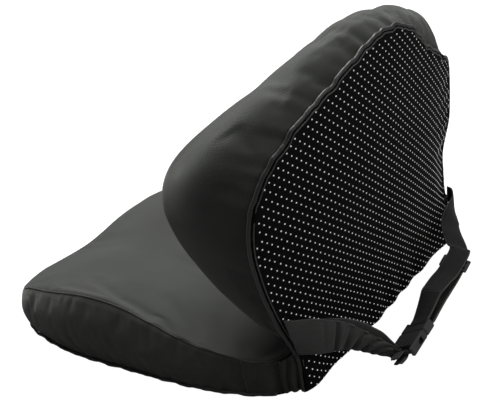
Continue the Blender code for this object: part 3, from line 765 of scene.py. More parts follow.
loop = outline(BACK_OUTLINE, N)
dirs, edge, front = edge_fields(loop)
loop = settle(loop)
ROWS = 24
x_, v_ = loop[:, 0], loop[:, 1]
extra = (.0235 * smooth(-x_, .028, .118) * (1 - smooth(-x_, .174, .206))
         * smooth(v_, .204, .248))
rows = []
for k in range(ROWS + 1):
    t = k / ROWS
    q = (loop + dirs * (extra * math.sin(math.pi * t**.62))[:, None] + (front - loop) * t**1.5
         + dirs * (follow(BULGE_V, BULGE_D, loop[:, 1])
                   * math.sin(math.pi * t) * np.clip(edge / .06, 0, 1))[:, None]
         + dirs * (waver(loop) * (1 - t)**4)[:, None])
    rows.append(on_back(q[:, 0], q[:, 1],
                        wrap(q[:, 0], q[:, 1]) + .0006 + (edge - .0006) * t))
rows = np.array(rows)


def back_front(q):
    """Forward distance of the front face at q."""
    ang = np.arctan2(front[:, 0] - MID[0], front[:, 1] - MID[1])
    rad = np.linalg.norm(front - MID, axis=1)
    o = np.argsort(ang)
    ang3 = np.r_[ang[o] - 2 * math.pi, ang[o], ang[o] + 2 * math.pi]
    a = np.arctan2(q[..., 0] - MID[0], q[..., 1] - MID[1])
    R = np.interp(a, ang3, np.tile(rad[o], 3))
    E = np.interp(a, ang3, np.tile(edge[o], 3))
    s = np.clip(np.linalg.norm(q - MID, axis=-1) / R, 0, 1)
    top = follow(MID_V, MID_D, q[..., 1])
    return wrap(q[..., 0], q[..., 1]) + E + (top - E) * (1 - s**4)**.55


def shell_mesh(name, rows, front_grid, rear_grid, mat, a, b):
    """Closed cushion: loops, then a grid over each end."""
    R, n = rows.shape[:2]
    V = [rows.reshape(-1, 3)]
    F = []
    i = np.arange(R * n).reshape(R, n)
    for k in range(R - 1):
        x, y = i[k], i[k + 1]
        F.append(np.stack([x, np.roll(x, -1), np.roll(y, -1), y], 1))
    tag = [np.repeat(np.arange(R), n)]
    off = R * n
    for grid, row in ((front_grid, R - 1), (rear_grid, 0)):
        li = loop_index(n, a, b)
        ids = np.where(li >= 0, row * n + li, -1)
        inner = ids < 0
        count = int(inner.sum())
        ids[inner] = off + np.arange(count)
        V.append(grid[inner])
        tag.append(np.full(count, 1000 if row else -1000))
        off += count
        F.append(np.stack([ids[:-1, :-1], ids[:-1, 1:], ids[1:, 1:],
                           ids[1:, :-1]], -1).reshape(-1, 4))
    ob = face_out(make(name, np.vstack(V), np.vstack(F), mat))
    return ob, np.concatenate(tag)


fq = coons(front, A, B)
fgrid = on_back(fq[..., 0], fq[..., 1], back_front(fq))
rq = coons(loop, A, B)
rear_in = 1 - np.clip(np.linalg.norm((rq - MID) / (.19, .145), axis=-1), 0, 1)
rgrid = on_back(rq[..., 0], rq[..., 1], wrap(rq[..., 0], rq[..., 1]) + .0006
                + .0050 * smooth(rear_in, 0, .08))
back, tag = shell_mesh("back_cushion", rows, fgrid, rgrid, KNIT, A, B)
pin = np.zeros(len(tag))
pin[tag <= 0] = 1
pin[tag == 1] = .6
inflate(back, pin, .0055, slack=.010)
# gathers running in from the seams
co, no = coords(back), normals(back)
row_t = np.where((tag >= 0) & (tag < 1000), tag / ROWS, 1.0)
loop_i = np.arange(len(tag)) % N
arc = np.where(tag < 1000, loop_i / N, 0) * 1.09
vq = co[:, 2]
dist = row_t * .115
body_rows = (tag > 0) & (tag < 1000)
gather = np.where(body_rows, np.exp(-((dist - .006) / .014)**2)
                  * (.00012 + .0005 * smooth(vq, .20, .27)
                     + .0008 * (1 - smooth(vq, .055, .085))), 0)
uneven = .55 + .45 * np.sin(arc * 31 + 1.7 * np.sin(arc * 11))
co += no * (gather * uneven
            * (np.sin(arc * 2 * math.pi / .0190 + 2.6 * np.sin(arc * 23))
               + .5 * np.sin(arc * 2 * math.pi / .0087 + 2)))[:, None]
set_coords(back, co)
m = back.modifiers.new("fine", "SUBSURF")
m.levels = m.render_levels = 1
bake(back)
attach(back, "back")
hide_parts("back_front_cover", "back_foam_core")


# rear panel: one cloth that turns under at the bottom and meets the base
def panel_surface(x, s):
    """Outer face of the rear panel at (x, height along it s)."""
    x, s = np.broadcast_arrays(np.asarray(x, float), np.asarray(s, float))
    out = .0068 * (1 - smooth(s, .004, .062)) * (1 - smooth(np.abs(x), .13, .19))
    w = wrap(x, s) - out
    r = .0058
    up = on_back(x, np.maximum(s, .007), np.where(s > .007, w, 0))
    y0 = .007 * math.sin(RECLINE) + .0068 * (1 - smooth(np.abs(x), .13, .19))
    y0 = y0 - follow(WRAP_V, WRAP_K, np.full_like(x, .007)) * x * x
    ang = np.clip((.007 - s) / r, 0, math.pi / 2)
    flat = np.maximum((.007 - s) - r * math.pi / 2, 0)
    z0 = .007 * math.cos(RECLINE)
    low = np.stack([x, y0 - r * (1 - np.cos(ang)) - flat,
                    z0 - r * np.sin(ang) + .0010 * np.sin(ang)], -1)
    return np.where((s > .007)[..., None], up, low)


def panel_ripple(x, s):
    """Small drapes of the panel between its stitched edges."""
    edge_in = smooth(np.abs(x), .10, .175)
    return (.0007 * np.sin(x * 38 + 3 * s) * np.sin(s * 31 + 1)
            + .0008 * edge_in * np.sin(s * 240 + 3 * np.sin(40 * s))
            + .0010 * (1 - smooth(s, .02, .07)) * np.sin(x * 150
                                                         + 2 * np.sin(x * 31)))


PA, PB = 76, 68
ploop = settle(outline(PANEL_OUTLINE, 2 * (PA + PB)))
pd = ploop - MID
pd /= np.linalg.norm(pd, axis=1, keepdims=True)
ploop = ploop + pd * waver(ploop)[:, None]
pq = coons(ploop, PA, PB)


def panel_point(x, s, off=0.0):
    h = 1e-4
    P = panel_surface(x, s)
    du = panel_surface(x + h, s) - P
    dv = panel_surface(x, s + h) - P
    n = np.cross(dv, du)
    n /= np.maximum(np.linalg.norm(n, axis=-1, keepdims=True), 1e-15)
    return P + n * (panel_ripple(x, s) + off)[..., None], n


PP, PN = panel_point(pq[..., 0], pq[..., 1], np.zeros(pq.shape[:2]) + .0002)
panel = slab("rear_panel_cloth", PP, .0014, GRIP)
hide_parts("back_rear_panel", "hinge_strip")


def inside(px, py, poly):
    hit = np.zeros(px.shape, bool)
    j = len(poly) - 1
    for i in range(len(poly)):
        a, b = poly[i], poly[j]
        cross = (a[1] > py) != (b[1] > py)
        with np.errstate(divide="ignore", invalid="ignore"):
            xi = (b[0] - a[0]) * (py - a[1]) / (b[1] - a[1]) + a[0]
        hit ^= cross & (px < xi)
        j = i
    return hit


def lattice(x0, x1, y0, y1, pitch=.0102, row=.00455):
    r = np.arange(int((y1 - y0) / row) + 1)
    k = np.arange(int((x1 - x0) / pitch) + 2)
    X = (k[None] - len(k) // 2) * pitch + (r[:, None] % 2) * pitch / 2
    Y = y0 + r[:, None] * row + 0 * X
    return X.ravel(), Y.ravel()


dx, dy = lattice(-.19, .19, -.012, .300)
inner = MID + (settle(outline(PANEL_OUTLINE, 240)) - MID) * .974
ok = inside(dx, dy, inner)
dx, dy = dx[ok], dy[ok]
dx = dx + rng.uniform(-.00008, .00008, len(dx))
P, Nn = panel_point(dx, dy, np.zeros(len(dx)) + .0009)
size = .00078 * (1 + rng.uniform(-.07, .05, len(dx)))
dots = domes("rear_panel_dots", P, Nn, size, .00042, DOTS)
for ob in (panel, dots):
    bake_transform(ob)

# piping round the back: the cord and the flange line stitched inside it, the flange drawn
# paler as a painted highlight
pl = settle(outline(PANEL_OUTLINE, 460))
pd = pl - MID
pd /= np.linalg.norm(pd, axis=1, keepdims=True)
tang = np.roll(pl, -1, 0) - np.roll(pl, 1, 0)
tang /= np.linalg.norm(tang, axis=1, keepdims=True)
outn = np.stack([-tang[:, 1], tang[:, 0]], 1)
outn *= np.sign((outn * pd).sum(1))[:, None]
order = np.r_[np.arange(230, 460), np.arange(0, 230)]


def piping_run(off, forward, vmin):
    q = pl + outn * (off + waver(pl))[:, None]
    idx = order[pl[order, 1] > vmin]
    q = q[idx]
    q = catmull(q[::2], 4)
    P = on_back(q[:, 0], q[:, 1], wrap(q[:, 0], q[:, 1]) + forward)
    s = np.r_[0, np.cumsum(np.linalg.norm(np.diff(P, axis=0), axis=1))]
    return even(P, int(s[-1] / .0022)), s[-1]


P1, L1 = piping_run(.0014, .0006, .004)
g = np.linspace(0, L1, len(P1))
r1 = .0018 * (1 + .07 * np.sin(g * 2 * math.pi / .0125 + 1.5 * np.sin(g * 19))
              + .03 * np.sin(g * 2 * math.pi / .0061))
P2, L2 = piping_run(-.0018, -.0014, .004)
g2 = np.linspace(0, L2, len(P2))
r2 = .00065 * (1 + .15 * np.sin(g2 * 2 * math.pi / .0034))
piping = tubes("back_piping_cord", [(P1, r1, dict(sides=12))], CORD)
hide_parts("back_piping")
flange = tubes("back_piping_flange", [(P2, r2, dict(sides=8))], FLANGE_HIGHLIGHT)
for ob in (piping, flange):
    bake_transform(ob)

# ============================================================= seat cushion
SA, SB = 92, 68
SN = 2 * (SA + SB)
sl = outline(SEAT_OUTLINE, SN)
sd = sl - SEAT_MID
sd /= np.linalg.norm(sd, axis=1, keepdims=True)
sh = (follow(SEAM_Y, SEAM_H, sl[:, 1])
      - follow(FRONT_X, FRONT_DIP, np.where(sl[:, 0] > 0, sl[:, 0],
                                            np.maximum(-sl[:, 0] * 1.25
                                                       + .012, .012)))
      * np.clip((-.37 - sl[:, 1]) / .04, 0, 1))
sf = sl - sd * (SEAM_INSET * np.clip(sh / .06, .3, 1.5))[:, None]
SR = 16
Z0 = .0019
srows = []
for k in range(SR + 1):
    t = k / SR
    q = (sl + (sf - sl) * t + sd * (SEAT_BULGE * math.sin(math.pi * t)
                                    * np.clip((sh - .03) / .04, 0, 1)
                                    - .0045 * (1 - t)**2
                                    * smooth(-sl[:, 1], .08, .22))[:, None])
    srows.append(np.column_stack([q, Z0 + (sh - Z0) * t]))
srows = np.array(srows)


def seat_top(q):
    ang = np.arctan2(sf[:, 0], sf[:, 1] - SEAT_MID[1])
    rad = np.linalg.norm(sf - SEAT_MID, axis=1)
    o = np.argsort(ang)
    ang3 = np.r_[ang[o] - 2 * math.pi, ang[o], ang[o] + 2 * math.pi]
    a = np.arctan2(q[..., 0], q[..., 1] - SEAT_MID[1])
    R = np.interp(a, ang3, np.tile(rad[o], 3))
    H = np.interp(a, ang3, np.tile(sh[o], 3))
    s = np.clip(np.linalg.norm(q - SEAT_MID, axis=-1) / R, 0, 1)
    f = np.clip((-q[..., 1] - .10) / .20, 0, 1)
    z = (follow(TOP_Y, TOP_H, q[..., 1]) + .006
         - .015 * np.exp(-((np.abs(q[..., 0]) - .105) / .05)**2) * f
         + .010 * np.exp(-(q[..., 0] / .045)**2) * f)
    return H + (z - H) * (1 - s**5)


tq = coons(sf, SA, SB)
tgrid = np.concatenate([tq, seat_top(tq)[..., None]], -1)
foot = srows[0][:, :2]
bq = coons(foot, SA, SB)
bgrid = np.concatenate([bq, np.full(bq.shape[:2] + (1,), Z0)], -1)
seat, stag = shell_mesh("seat_cushion", srows, tgrid, bgrid, KNIT, SA, SB)
pin = np.zeros(len(stag))
pin[stag <= 0] = 1
pin[stag == SR] = 1
inflate(seat, pin, .0055, slack=.011, keep=.18)
co, no = coords(seat), normals(seat)
si = np.arange(len(stag)) % SN
sarc = np.where(stag < 1000, si / SN, 0) * 1.62
st = np.where((stag >= 0) & (stag < 1000), stag / SR, 1.0)
hz = st * sh[si]
yy = co[:, 1]
rear = smooth(yy, -.075, -.02)
low = np.where((stag > 0) & (stag < SR),
               np.exp(-((hz - .006) / .012)**2) * (.0005 + .0005 * rear), 0)
high = np.where((stag > 0) & (stag < SR),
                np.exp(-(((sh[si] - hz) - .005) / .009)**2) * .00035, 0)
wave = (np.sin(sarc * 2 * math.pi / .0170 + 1.4 * np.sin(sarc * 17))
        + .5 * np.sin(sarc * 2 * math.pi / .0093 + 1))
co += no * ((low + high) * wave)[:, None]
# the sewn edge between the top and the side band is pulled in
ring = stag == SR
co[ring] -= no[ring] * .0016
near = stag == SR - 1
co[near] += no[near] * .0003
# upright folds where the cover crowds into the hinge
fold = np.where((stag > 0) & (stag < SR), smooth(yy, -.026, -.015)
                * smooth(np.abs(co[:, 0]), .150, .168), 0)
co += no * (fold * .0016 * np.sin(sarc * 2 * math.pi / .0115
                                  + hz * 70))[:, None]
co[:, 2] = np.maximum(co[:, 2], .0017)
set_coords(seat, co)
ring_pts = co[SR * SN:(SR + 1) * SN].copy()
ring_nor = no[SR * SN:(SR + 1) * SN].copy()
col_pts = co[:(SR + 1) * SN].reshape(SR + 1, SN, 3).copy()
col_nor = no[:(SR + 1) * SN].reshape(SR + 1, SN, 3).copy()
m = seat.modifiers.new("fine", "SUBSURF")
m.levels = m.render_levels = 1
bake(seat)
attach(seat, "seat")
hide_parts("seat_top_cover", "seat_side_band", "seat_foam_core")

# sewn seams: the slim ridge of the top seam, and upright joins of the band
run = np.roll(ring_pts + ring_nor * .0002, -8, 0)[:-15]
run = even(catmull(run[::2], 4), 900)
g = np.arange(len(run))
seams = [(run, .00085 * (1 + .22 * np.sin(g * 2.1)), dict(sides=8))]
for side in (1, -1):
    k = int(np.argmin(np.abs(sl[:, 1] + .052) + (sl[:, 0] * side < 0) * 9))
    line = col_pts[1:SR, k] + col_nor[1:SR, k] * .0001
    line = even(catmull(line, 4), 60)
    seams.append((line, .00075 * (1 + .2 * np.sin(np.arange(60) * 2.0)),
                  dict(sides=8)))
welt = tubes("seat_seams", seams, KNIT_SHADE_AND_SEAM)
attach(welt, "seat")

# anti-slip base with its dots
base = slab("seat_base_cloth",
            np.concatenate([bq, np.full(bq.shape[:2] + (1,), .0011)], -1),
            .0012, GRIP)
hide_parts("seat_base_panel")
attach(base, "seat")
gx, gy = lattice(-.25, .25, -.424, -.018)
ok = inside(gx, gy, SEAT_MID + (outline(SEAT_OUTLINE, 240) - SEAT_MID) * .975)
gx, gy = gx[ok], gy[ok]
gp = np.column_stack([gx, gy, np.full(len(gx), .00055)])
gn = np.tile([0, 0, -1.0], (len(gx), 1))
gdots = domes("seat_base_dots", gp, gn, .00078, .00045, DOTS, sides=6)
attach(gdots, "seat")

# seat piping, gathered like the back's
pl2 = outline(SEAT_OUTLINE, 460)
keep = np.nonzero(pl2[:, 1] < -.024)[0]
q = pl2[keep]
t2 = np.gradient(q, axis=0)
t2 /= np.linalg.norm(t2, axis=1, keepdims=True)
o2 = np.stack([-t2[:, 1], t2[:, 0]], 1)
o2 *= np.sign((o2 * (q - SEAT_MID)).sum(1))[:, None]
s2 = np.arange(len(q)) / len(q) * 1.5
q = q + o2 * (-.0030 * smooth(-q[:, 1], .08, .22) + .0012
               + .0005 * np.sin(s2 * 2 * math.pi / .031
                                     + 2 * np.sin(9 * s2)))[:, None]
P = np.column_stack([q, .0026 + .0005 * (1 + np.sin(s2 * 2 * math.pi / .043))])
P = even(catmull(P[::2], 4), 700)
g = np.linspace(0, 1.5, len(P))
sp = tubes("seat_piping_cord",
           [(P, .0017 * (1 + .07 * np.sin(g * 2 * math.pi / .013
                                          + 1.2 * np.sin(g * 17))),
             dict(sides=12))], CORD)
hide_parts("seat_piping")
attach(sp, "seat")


# ------------------------------------------------ cloth round the fold line
def curtain(name, a_line, b_line, sag, ridge, waves, mat, n=34, m=26,
            thick=.0012):
    """Sheet from line a to line b with folds running across it."""
    a_line = even(np.array(a_line, float), n)
    b_line = even(np.array(b_line, float), n)
    u = np.linspace(0, 1, m)[:, None, None]
    P = a_line[None] * (1 - u) + b_line[None] * u
    P = P + np.array(sag, float) * (4 * u * (1 - u))
    nn = grid_normals(P)
    uu = np.linspace(0, 1, m)[:, None]
    vv = np.linspace(0, 1, n)[None]
    amp = ridge * np.sin(math.pi * np.clip(uu * 1.1, 0, 1))**.6
    h = amp * np.sin(waves * 2 * math.pi * uu + 1.6 * np.sin(3 * vv + 1)
                     + .8 * vv)
    return slab(name, P + nn * h[..., None], thick, mat)


for side, word in ((1, "near"), (-1, "far")):
    a_line, b_line = [], []
    for z in np.linspace(.0030, .0350, 8):
        k = int(np.argmin(np.abs(sl[:, 1] + .0195) + (sl[:, 0] * side < 0) * 9))
        x = np.interp(z, srows[:, k, 2], srows[:, k, 0])
        y = np.interp(z, srows[:, k, 2], srows[:, k, 1])
        a_line.append((x - side * .0006, y, z))
        v = z / math.cos(RECLINE) * 1.25 + .002
        xb = .1640 if v < .02 else .1640 - .003 * min((v - .02) / .02, 1)
        b_line.append(on_back(side * xb, v, wrap(side * xb, v) + .0016))
    # the side webs take the darker knit: painted shade in the fold
    web = curtain("hinge_web_" + word, a_line, b_line,
                  (side * .0030, .000, 0), .0015, 2.2, KNIT_SHADE_AND_SEAM, m=34)
    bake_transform(web)

a_line = [(x, -.0165, .0352) for x in np.linspace(-.166, .166, 30)]
b_line = [tuple(on_back(x, .0560, wrap(x, .056) + .010))
          for x in np.linspace(-.158, .158, 30)]
inner_web = curtain("hinge_web_inner", a_line, b_line, (0, .010, -.002),
                    .0010, 1.0, KNIT, n=90, m=16)
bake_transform(inner_web)

# ============================================================= strap
def unit(v):
    v = np.asarray(v, float)
    return v / np.linalg.norm(v)


def lean(deg):
    a = math.radians(deg)
    return np.array([0, math.sin(a), math.cos(a)])


def strip(name, stations, width, thick, mat, cols=9, ripple=None, curl=0.0):
    """Woven tape through stations of (centre, width direction, width)."""
    c = np.array([s[0] for s in stations], float)
    d = np.array([s[1] for s in stations], float)
    w = np.array([s[2] for s in stations], float)
    steps = 10
    C = catmull(c, steps)
    D = catmull(d, steps)
    W = catmull(w[:, None], steps)[:, 0]
    s = np.r_[0, np.cumsum(np.linalg.norm(np.diff(C, axis=0), axis=1))]
    count = max(12, int(s[-1] / .0016))
    g = np.linspace(0, s[-1], count)
    C = np.stack([np.interp(g, s, C[:, k]) for k in range(3)], 1)
    D = np.stack([np.interp(g, s, D[:, k]) for k in range(3)], 1)
    W = np.interp(g, s, W)
    T = np.gradient(C, axis=0)
    T /= np.linalg.norm(T, axis=1, keepdims=True)
    D -= T * (D * T).sum(1)[:, None]
    D /= np.linalg.norm(D, axis=1, keepdims=True)
    Nn = np.cross(T, D)
    v = np.linspace(-.5, .5, cols)
    P = (C[:, None] + D[:, None] * (W[:, None] * v[None])[..., None]
         + Nn[:, None] * (curl * (v[None] * 2)**2
                          * np.ones((count, 1)))[..., None])
    if ripple is not None:
        P = P + Nn[:, None] * ripple(g[:, None] / s[-1], v[None])[..., None]
    uv = np.stack([np.repeat(g[:, None], cols, 1),
                   v[None] * (W[:, None] if width is None else width)
                   * np.ones((count, 1))], -1)
    return slab(name, P, thick, mat, uv)


GLIDE = np.array([-.0406, .0590, .0376])
GD = unit([-1, -.12, .05])
GU = -np.cross(GD, lean(100))
GU /= np.linalg.norm(GU)
run = [((.0180, .0650, .0340), 84), ((-.0040, .0628, .0352), 92),
       (tuple(GLIDE - GD * .018), 98), (tuple(GLIDE + GD * .018), 100),
       ((-.0700, .0478, .0386), 106), ((-.0880, .0340, .0398), 108),
       ((-.1090, .0215, .0412), 118), ((-.1300, .0140, .0432), 150),
       ((-.1480, .0075, .0446), 178), ((-.1620, -.0005, .0458), 180),
       ((-.1650, -.0090, .0468), 180)]


def layer(first, last, side, shift, lift=0.0):
    out = []
    for p, a in run[first:last]:
        p = np.array(p)
        k = 1 if p[0] > -.06 else .55 if p[0] > -.1 else 0
        near = smooth(p[0], -.030, .018)
        out.append((p + GU * side * k + lean(a) * shift * (p[0] > -.06)
                    + np.array([0, -.40, .92]) * lift * near,
                    lean(a), .022))
    return out


top_run = layer(0, len(run), .0027, -.0010, .0060)
web_long = strip("strap_webbing_long", top_run, .022, .0013, WEB, curl=.0003)
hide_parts("strap_webbing_outer", "strap_far_root")
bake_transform(web_long)
low_run = layer(0, 4, -.0027, .0006)
low_run[-1] = (low_run[-1][0] - GD * .006 + GU * .0006, low_run[-1][1], .022)
web_ret = strip("strap_webbing_lower", low_run, .022, .0013, WEB, curl=-.0003)
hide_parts("strap_webbing_return")
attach(web_ret, "strap")

# the loop through the plug: both layers come in and turn round the bar
BK = np.array([.1035, .0740, .0310])
BX = unit([-1, -.09, 0])
BZ = np.cross(BX, lean(60))
BZ /= np.linalg.norm(BZ)
BY = np.cross(BZ, BX)


def in_buckle(x, y, z):
    return BK + BX * x + BY * y + BZ * z


bar = .0435
loop_st = [(top_run[0][0], lean(84), .022),
           (.5 * (top_run[0][0] + in_buckle(bar + .012, 0, -.0034)), lean(70),
            .022),
           (in_buckle(bar + .010, 0, -.0036), BY, .022),
           (in_buckle(bar + .003, 0, -.0030), BY, .022)]
loop_st += [(in_buckle(bar - .0027 * math.cos(a), 0, .0027 * math.sin(a)), BY,
             .0218) for a in np.radians([-60, -20, 20, 60])]
loop_st += [(in_buckle(bar + .003, 0, .0030), BY, .022),
            (in_buckle(bar + .010, 0, .0036), BY, .022),
            (.5 * (low_run[0][0] + in_buckle(bar + .012, 0, .0036)), lean(70),
             .022), (low_run[0][0], lean(84), .022)]
plug_loop = strip("strap_webbing_loop", loop_st, .022, .0013, WEB)
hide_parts("strap_plug_loop")
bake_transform(plug_loop)

# gathered elastic, from the piping to the socket's bar
tops = [(.1735, .0020, .0965), (.1655, .0085, .0935), (.1503, .0200, .0880),
        (.1295, .0360, .0742), (.1150, .0520, .0550), (.1060, .0640, .0410),
        (.1030, .0735, .0335)]
bots = [(.1640, .0010, .0500), (.1600, .0085, .0500), (.1515, .0200, .0490),
        (.1305, .0360, .0432), (.1150, .0520, .0315), (.1065, .0640, .0262),
        (.1030, .0705, .0268)]
TP, BP = catmull(tops, 12), catmull(bots, 12)
TP, BP = even(TP, 84), even(BP, 84)
cols = 40
v = np.linspace(0, 1, cols)
P = TP[:, None] * (1 - v)[None, :, None] + BP[:, None] * v[None, :, None]
nn = grid_normals(P)
u = np.linspace(0, 1, 84)[:, None]
vv = v[None]
# pleats fan across the band, steeper nearer the buckle
amp = .0016 * smooth(u, .22, .45) * (1 - .7 * smooth(u, .82, 1))
phase = (u - .30) * 9.5 - (vv - .5) * (-.55 - 2.2 * smooth(u, .30, .95))
folds = (np.sin(2 * math.pi * phase) + .35 * np.sin(4 * math.pi * phase + 1)
         + .25 * np.sin(2 * math.pi * phase * 1.7 + 2))
flat = 1 - .55 * smooth(np.abs(vv - .5) * 2, .80, 1.0)
P = P + nn * (amp * folds * flat + .0030 * np.sin(math.pi * vv)
              * np.sin(math.pi * u) + .00025 * np.sin(vv * 90 + 4 * u)
              )[..., None]
s = np.r_[0, np.cumsum(np.linalg.norm(np.diff(TP, axis=0), axis=1))]
uv = np.stack([np.repeat(s[:, None], cols, 1),
               np.repeat((vv - .5) * .046, 84, 0)], -1)
tab = slab("strap_elastic_tab", P, .0016, ELASTIC, uv)
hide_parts("strap_near_elastic", "strap_near_root")
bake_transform(tab)
# the tab's second layer shows above its edge
part = np.arange(84)
away = smooth(part, 26, 58) * (1 - smooth(part, 66, 83))
top2 = TP + np.array([-.0018, .0020, .0050]) * away[:, None]
P = np.stack([TP * .72 + BP * .28, TP * .86 + BP * .14, TP, top2], 1)
P = np.stack([catmull(r, 4) for r in P])
P = P - nn[:, :1] * (.0020 + .0016 * away)[:, None, None]
hi = slab("strap_elastic_back", P[28:], .0012, ELASTIC,
                    np.stack([np.repeat(s[28:, None], P.shape[1], 1),
                              np.tile(np.linspace(-.02, 0, P.shape[1]),
                                      (84 - 28, 1))], -1))
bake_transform(hi)
# stitched hems along both edges of the tab
hems = []
for line in (TP * .97 + BP * .03, BP * .97 + TP * .03):
    g = np.arange(len(line))
    hems.append((line, .00095 * (1 + .12 * np.sin(g * 2.3)), dict(sides=8)))
hem = tubes("strap_elastic_hems", hems, CORD)
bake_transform(hem)
# end of the tab turned round the socket's bar
st = [(np.array(tops[-1]) * .5 + np.array(bots[-1]) * .5, BY, .0150)]
mid = st[0][0]
st = [(in_buckle(-.012, 0, -.0035), BY, .017),
      (in_buckle(-.005, 0, -.0030), BY, .020)]
st += [(in_buckle(-.0003 + .0025 * math.cos(a), 0, .0025 * math.sin(a)), BY,
        .0205) for a in np.radians([-75, -25, 25, 75])]
st += [(in_buckle(-.005, 0, .0030), BY, .020),
       (in_buckle(-.012, 0, .0022), BY, .017)]
st = [(c_, d_, w_ * .55) for c_, d_, w_ in st]
endloop = strip("strap_elastic_loop", st, None, .0013, ELASTIC,
                ripple=lambda a, b: .0003 * np.sin(b * 60) + 0 * a)
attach(endloop, "strap")

# ============================================================= hardware
for name in ("buckle_socket", "buckle_plug", "buckle_arm_upper",
             "buckle_arm_lower", "tri_glide", "seat_zip_slider",
             "back_zip_slider"):
    ob = frame["nodes"][name]
    mat = METAL if "zip" in name else PLASTIC
    ob.data.materials.clear()
    ob.data.materials.append(mat)
    b = ob.modifiers.new("soft_edges", "BEVEL")
    b.width = .00045
    b.segments = 3
    b.limit_method = "ANGLE"
    b.angle_limit = math.radians(30)
    b.use_clamp_overlap = True
    b.harden_normals = False


def zip_piece(name, node, centre, along, across, out, length):
    """Tape with a line of moulded teeth."""
    n = int(length / .0015)
    P = centre[:, None] + across[:, None] * np.linspace(-.0068, .0068, 9)[
        None, :, None]
    s = np.r_[0, np.cumsum(np.linalg.norm(np.diff(centre, axis=0), axis=1))]
    uv = np.stack([np.repeat(s[:, None], 9, 1),
                   np.repeat(np.linspace(-.0068, .0068, 9)[None], len(s), 0)],
                  -1)
    tape = slab(name, P, .0011, ZIPTAPE, uv)
    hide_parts(node)
    g = np.linspace(.003, s[-1] - .003, n)
    C = np.stack([np.interp(g, s, centre[:, k]) for k in range(3)], 1)
    Ac = np.stack([np.interp(g, s, across[:, k]) for k in range(3)], 1)
    O = np.stack([np.interp(g, s, out[:, k]) for k in range(3)], 1)
    T = np.gradient(C, axis=0)
    T /= np.linalg.norm(T, axis=1, keepdims=True)
    V, F = [], []
    for k in range(n):
        sgn = 1 if k % 2 else -1
        c = C[k] + Ac[k] * .0007 * sgn + O[k] * .0008
        box = []
        for a, b, d in ((-1, -1, -1), (1, -1, -1), (1, 1, -1), (-1, 1, -1),
                        (-1, -1, 1), (1, -1, 1), (1, 1, 1), (-1, 1, 1)):
            sh_ = .8 if d > 0 else 1
            box.append(c + T[k] * .00055 * a * sh_ + Ac[k] * .0013 * b * sh_
                       + O[k] * .0006 * d)
        o = len(V)
        V += box
        F += [(o, o + 3, o + 2, o + 1), (o + 4, o + 5, o + 6, o + 7),
              (o, o + 1, o + 5, o + 4), (o + 1, o + 2, o + 6, o + 5),
              (o + 2, o + 3, o + 7, o + 6), (o + 3, o, o + 4, o + 7)]
    teeth = face_out(make(name + "_teeth", V, F, TEETH, shade=False))
    return tape, teeth


x = np.linspace(-.117, .117, 60)
lo, hi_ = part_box("seat_zip_tape")
c = np.column_stack([x, np.full(60, (lo.y + hi_.y) / 2),
                     np.full(60, (lo.z + hi_.z) / 2)])
for ob in zip_piece("seat_zip", "seat_zip_tape", c, x,
                    np.tile([0, 0, 1.0], (60, 1)), np.tile([0, -1.0, 0], (60, 1)),
                    .234):
    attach(ob, "seat")

# back zip follows the far side; its place comes from the frame's own tape
me = frame["nodes"]["back_zip_tape"].data
tv = np.array([v.co for v in me.vertices])
zs = np.linspace(tv[:, 2].min() + .001, tv[:, 2].max() - .001, 40)
cc, aa, oo = [], [], []
order_z = np.argsort(tv[:, 2])
uniq = np.unique(np.round(tv, 5), axis=0)
groups = uniq[np.argsort(uniq[:, 2])]
groups = groups[:len(groups) // 4 * 4].reshape(-1, 4, 3)
cen = groups.mean(1)
acr = []
for gset in groups:
    f_ = gset[np.argsort(gset[:, 1])]
    a_ = f_[2:].mean(0) - f_[:2].mean(0)
    acr.append(a_ / np.linalg.norm(a_))
acr = np.array(acr)
cen = even(cen, 60)
acr = even(acr, 60)
acr /= np.linalg.norm(acr, axis=1, keepdims=True)
tz = np.gradient(cen, axis=0)
tz /= np.linalg.norm(tz, axis=1, keepdims=True)
ou = np.cross(acr, tz)
ou *= np.sign(-ou[:, :1])
for ob in zip_piece("back_zip", "back_zip_tape", cen, tz, acr, ou, .15):
    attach(ob, "back")

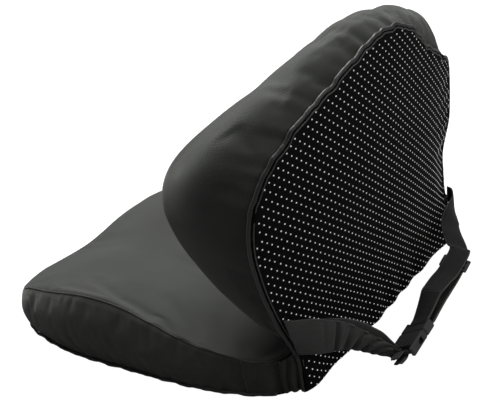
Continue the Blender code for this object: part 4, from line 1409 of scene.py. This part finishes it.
# ============================================================= stage
t = Tree("floor")
t.set(Base_Color=(.22, .22, .22, 1), Roughness=.9)
lp_ = t.n("ShaderNodeLightPath").outputs["Is Camera Ray"]
t.put(t.p.inputs["Emission Color"], (1, 1, 1, 1))
t.put(t.p.inputs["Emission Strength"], t.math("MULTIPLY", lp_, 1.0))
fl = make("floor", [(-9, -9, -.0014), (9, -9, -.0014), (9, 9, -.0014),
                    (-9, 9, -.0014)], [(0, 1, 2, 3)], t.m, shade=False)

world = bpy.data.worlds.new("studio")
bpy.context.scene.world = world
world.use_nodes = True
nt = world.node_tree
bg = nt.nodes["Background"]
bg.inputs[0].default_value = (1, 1, 1, 1)
bg.inputs[1].default_value = 1.0
lp = nt.nodes.new("ShaderNodeLightPath")
mth = nt.nodes.new("ShaderNodeMath")
mth.operation = "MULTIPLY_ADD"
nt.links.new(lp.outputs["Is Camera Ray"], mth.inputs[0])
mth.inputs[1].default_value = .92
mth.inputs[2].default_value = .08
nt.links.new(mth.outputs[0], bg.inputs[1])


def area(name, at, look, size, watts):
    la = bpy.data.lights.new(name, "AREA")
    la.size = size
    la.energy = watts
    ob = bpy.data.objects.new(name, la)
    bpy.context.scene.collection.objects.link(ob)
    ob.location = at
    d = Vector(look) - Vector(at)
    ob.rotation_euler = d.to_track_quat("-Z", "Y").to_euler()
    return ob


area("key", (-.75, -1.35, 1.75), (0, -.1, .1), 1.1, 57)
area("top", (-.25, -.15, 2.1), (0, -.1, .1), 1.0, 17)
area("rear_fill", (-.30, 1.9, 1.0), (0, 0, .1), 1.0, 10)

cam = bpy.data.cameras.new("camera")
cam.sensor_width = 36
cam.lens = 47.488
cam.shift_y = 0.0
cam.clip_start = .01
co_ = bpy.data.objects.new("camera", cam)
bpy.context.scene.collection.objects.link(co_)
co_.matrix_world = Matrix(((-.63485, -.46789, .61485, .5049),
                           (.74271, -.15021, .65255, .34860),
                           (-.21297, .87093, .44286, .45712),
                           (0, 0, 0, 1)))
bpy.context.scene.camera = co_
bpy.context.scene.view_settings.view_transform = "Standard"
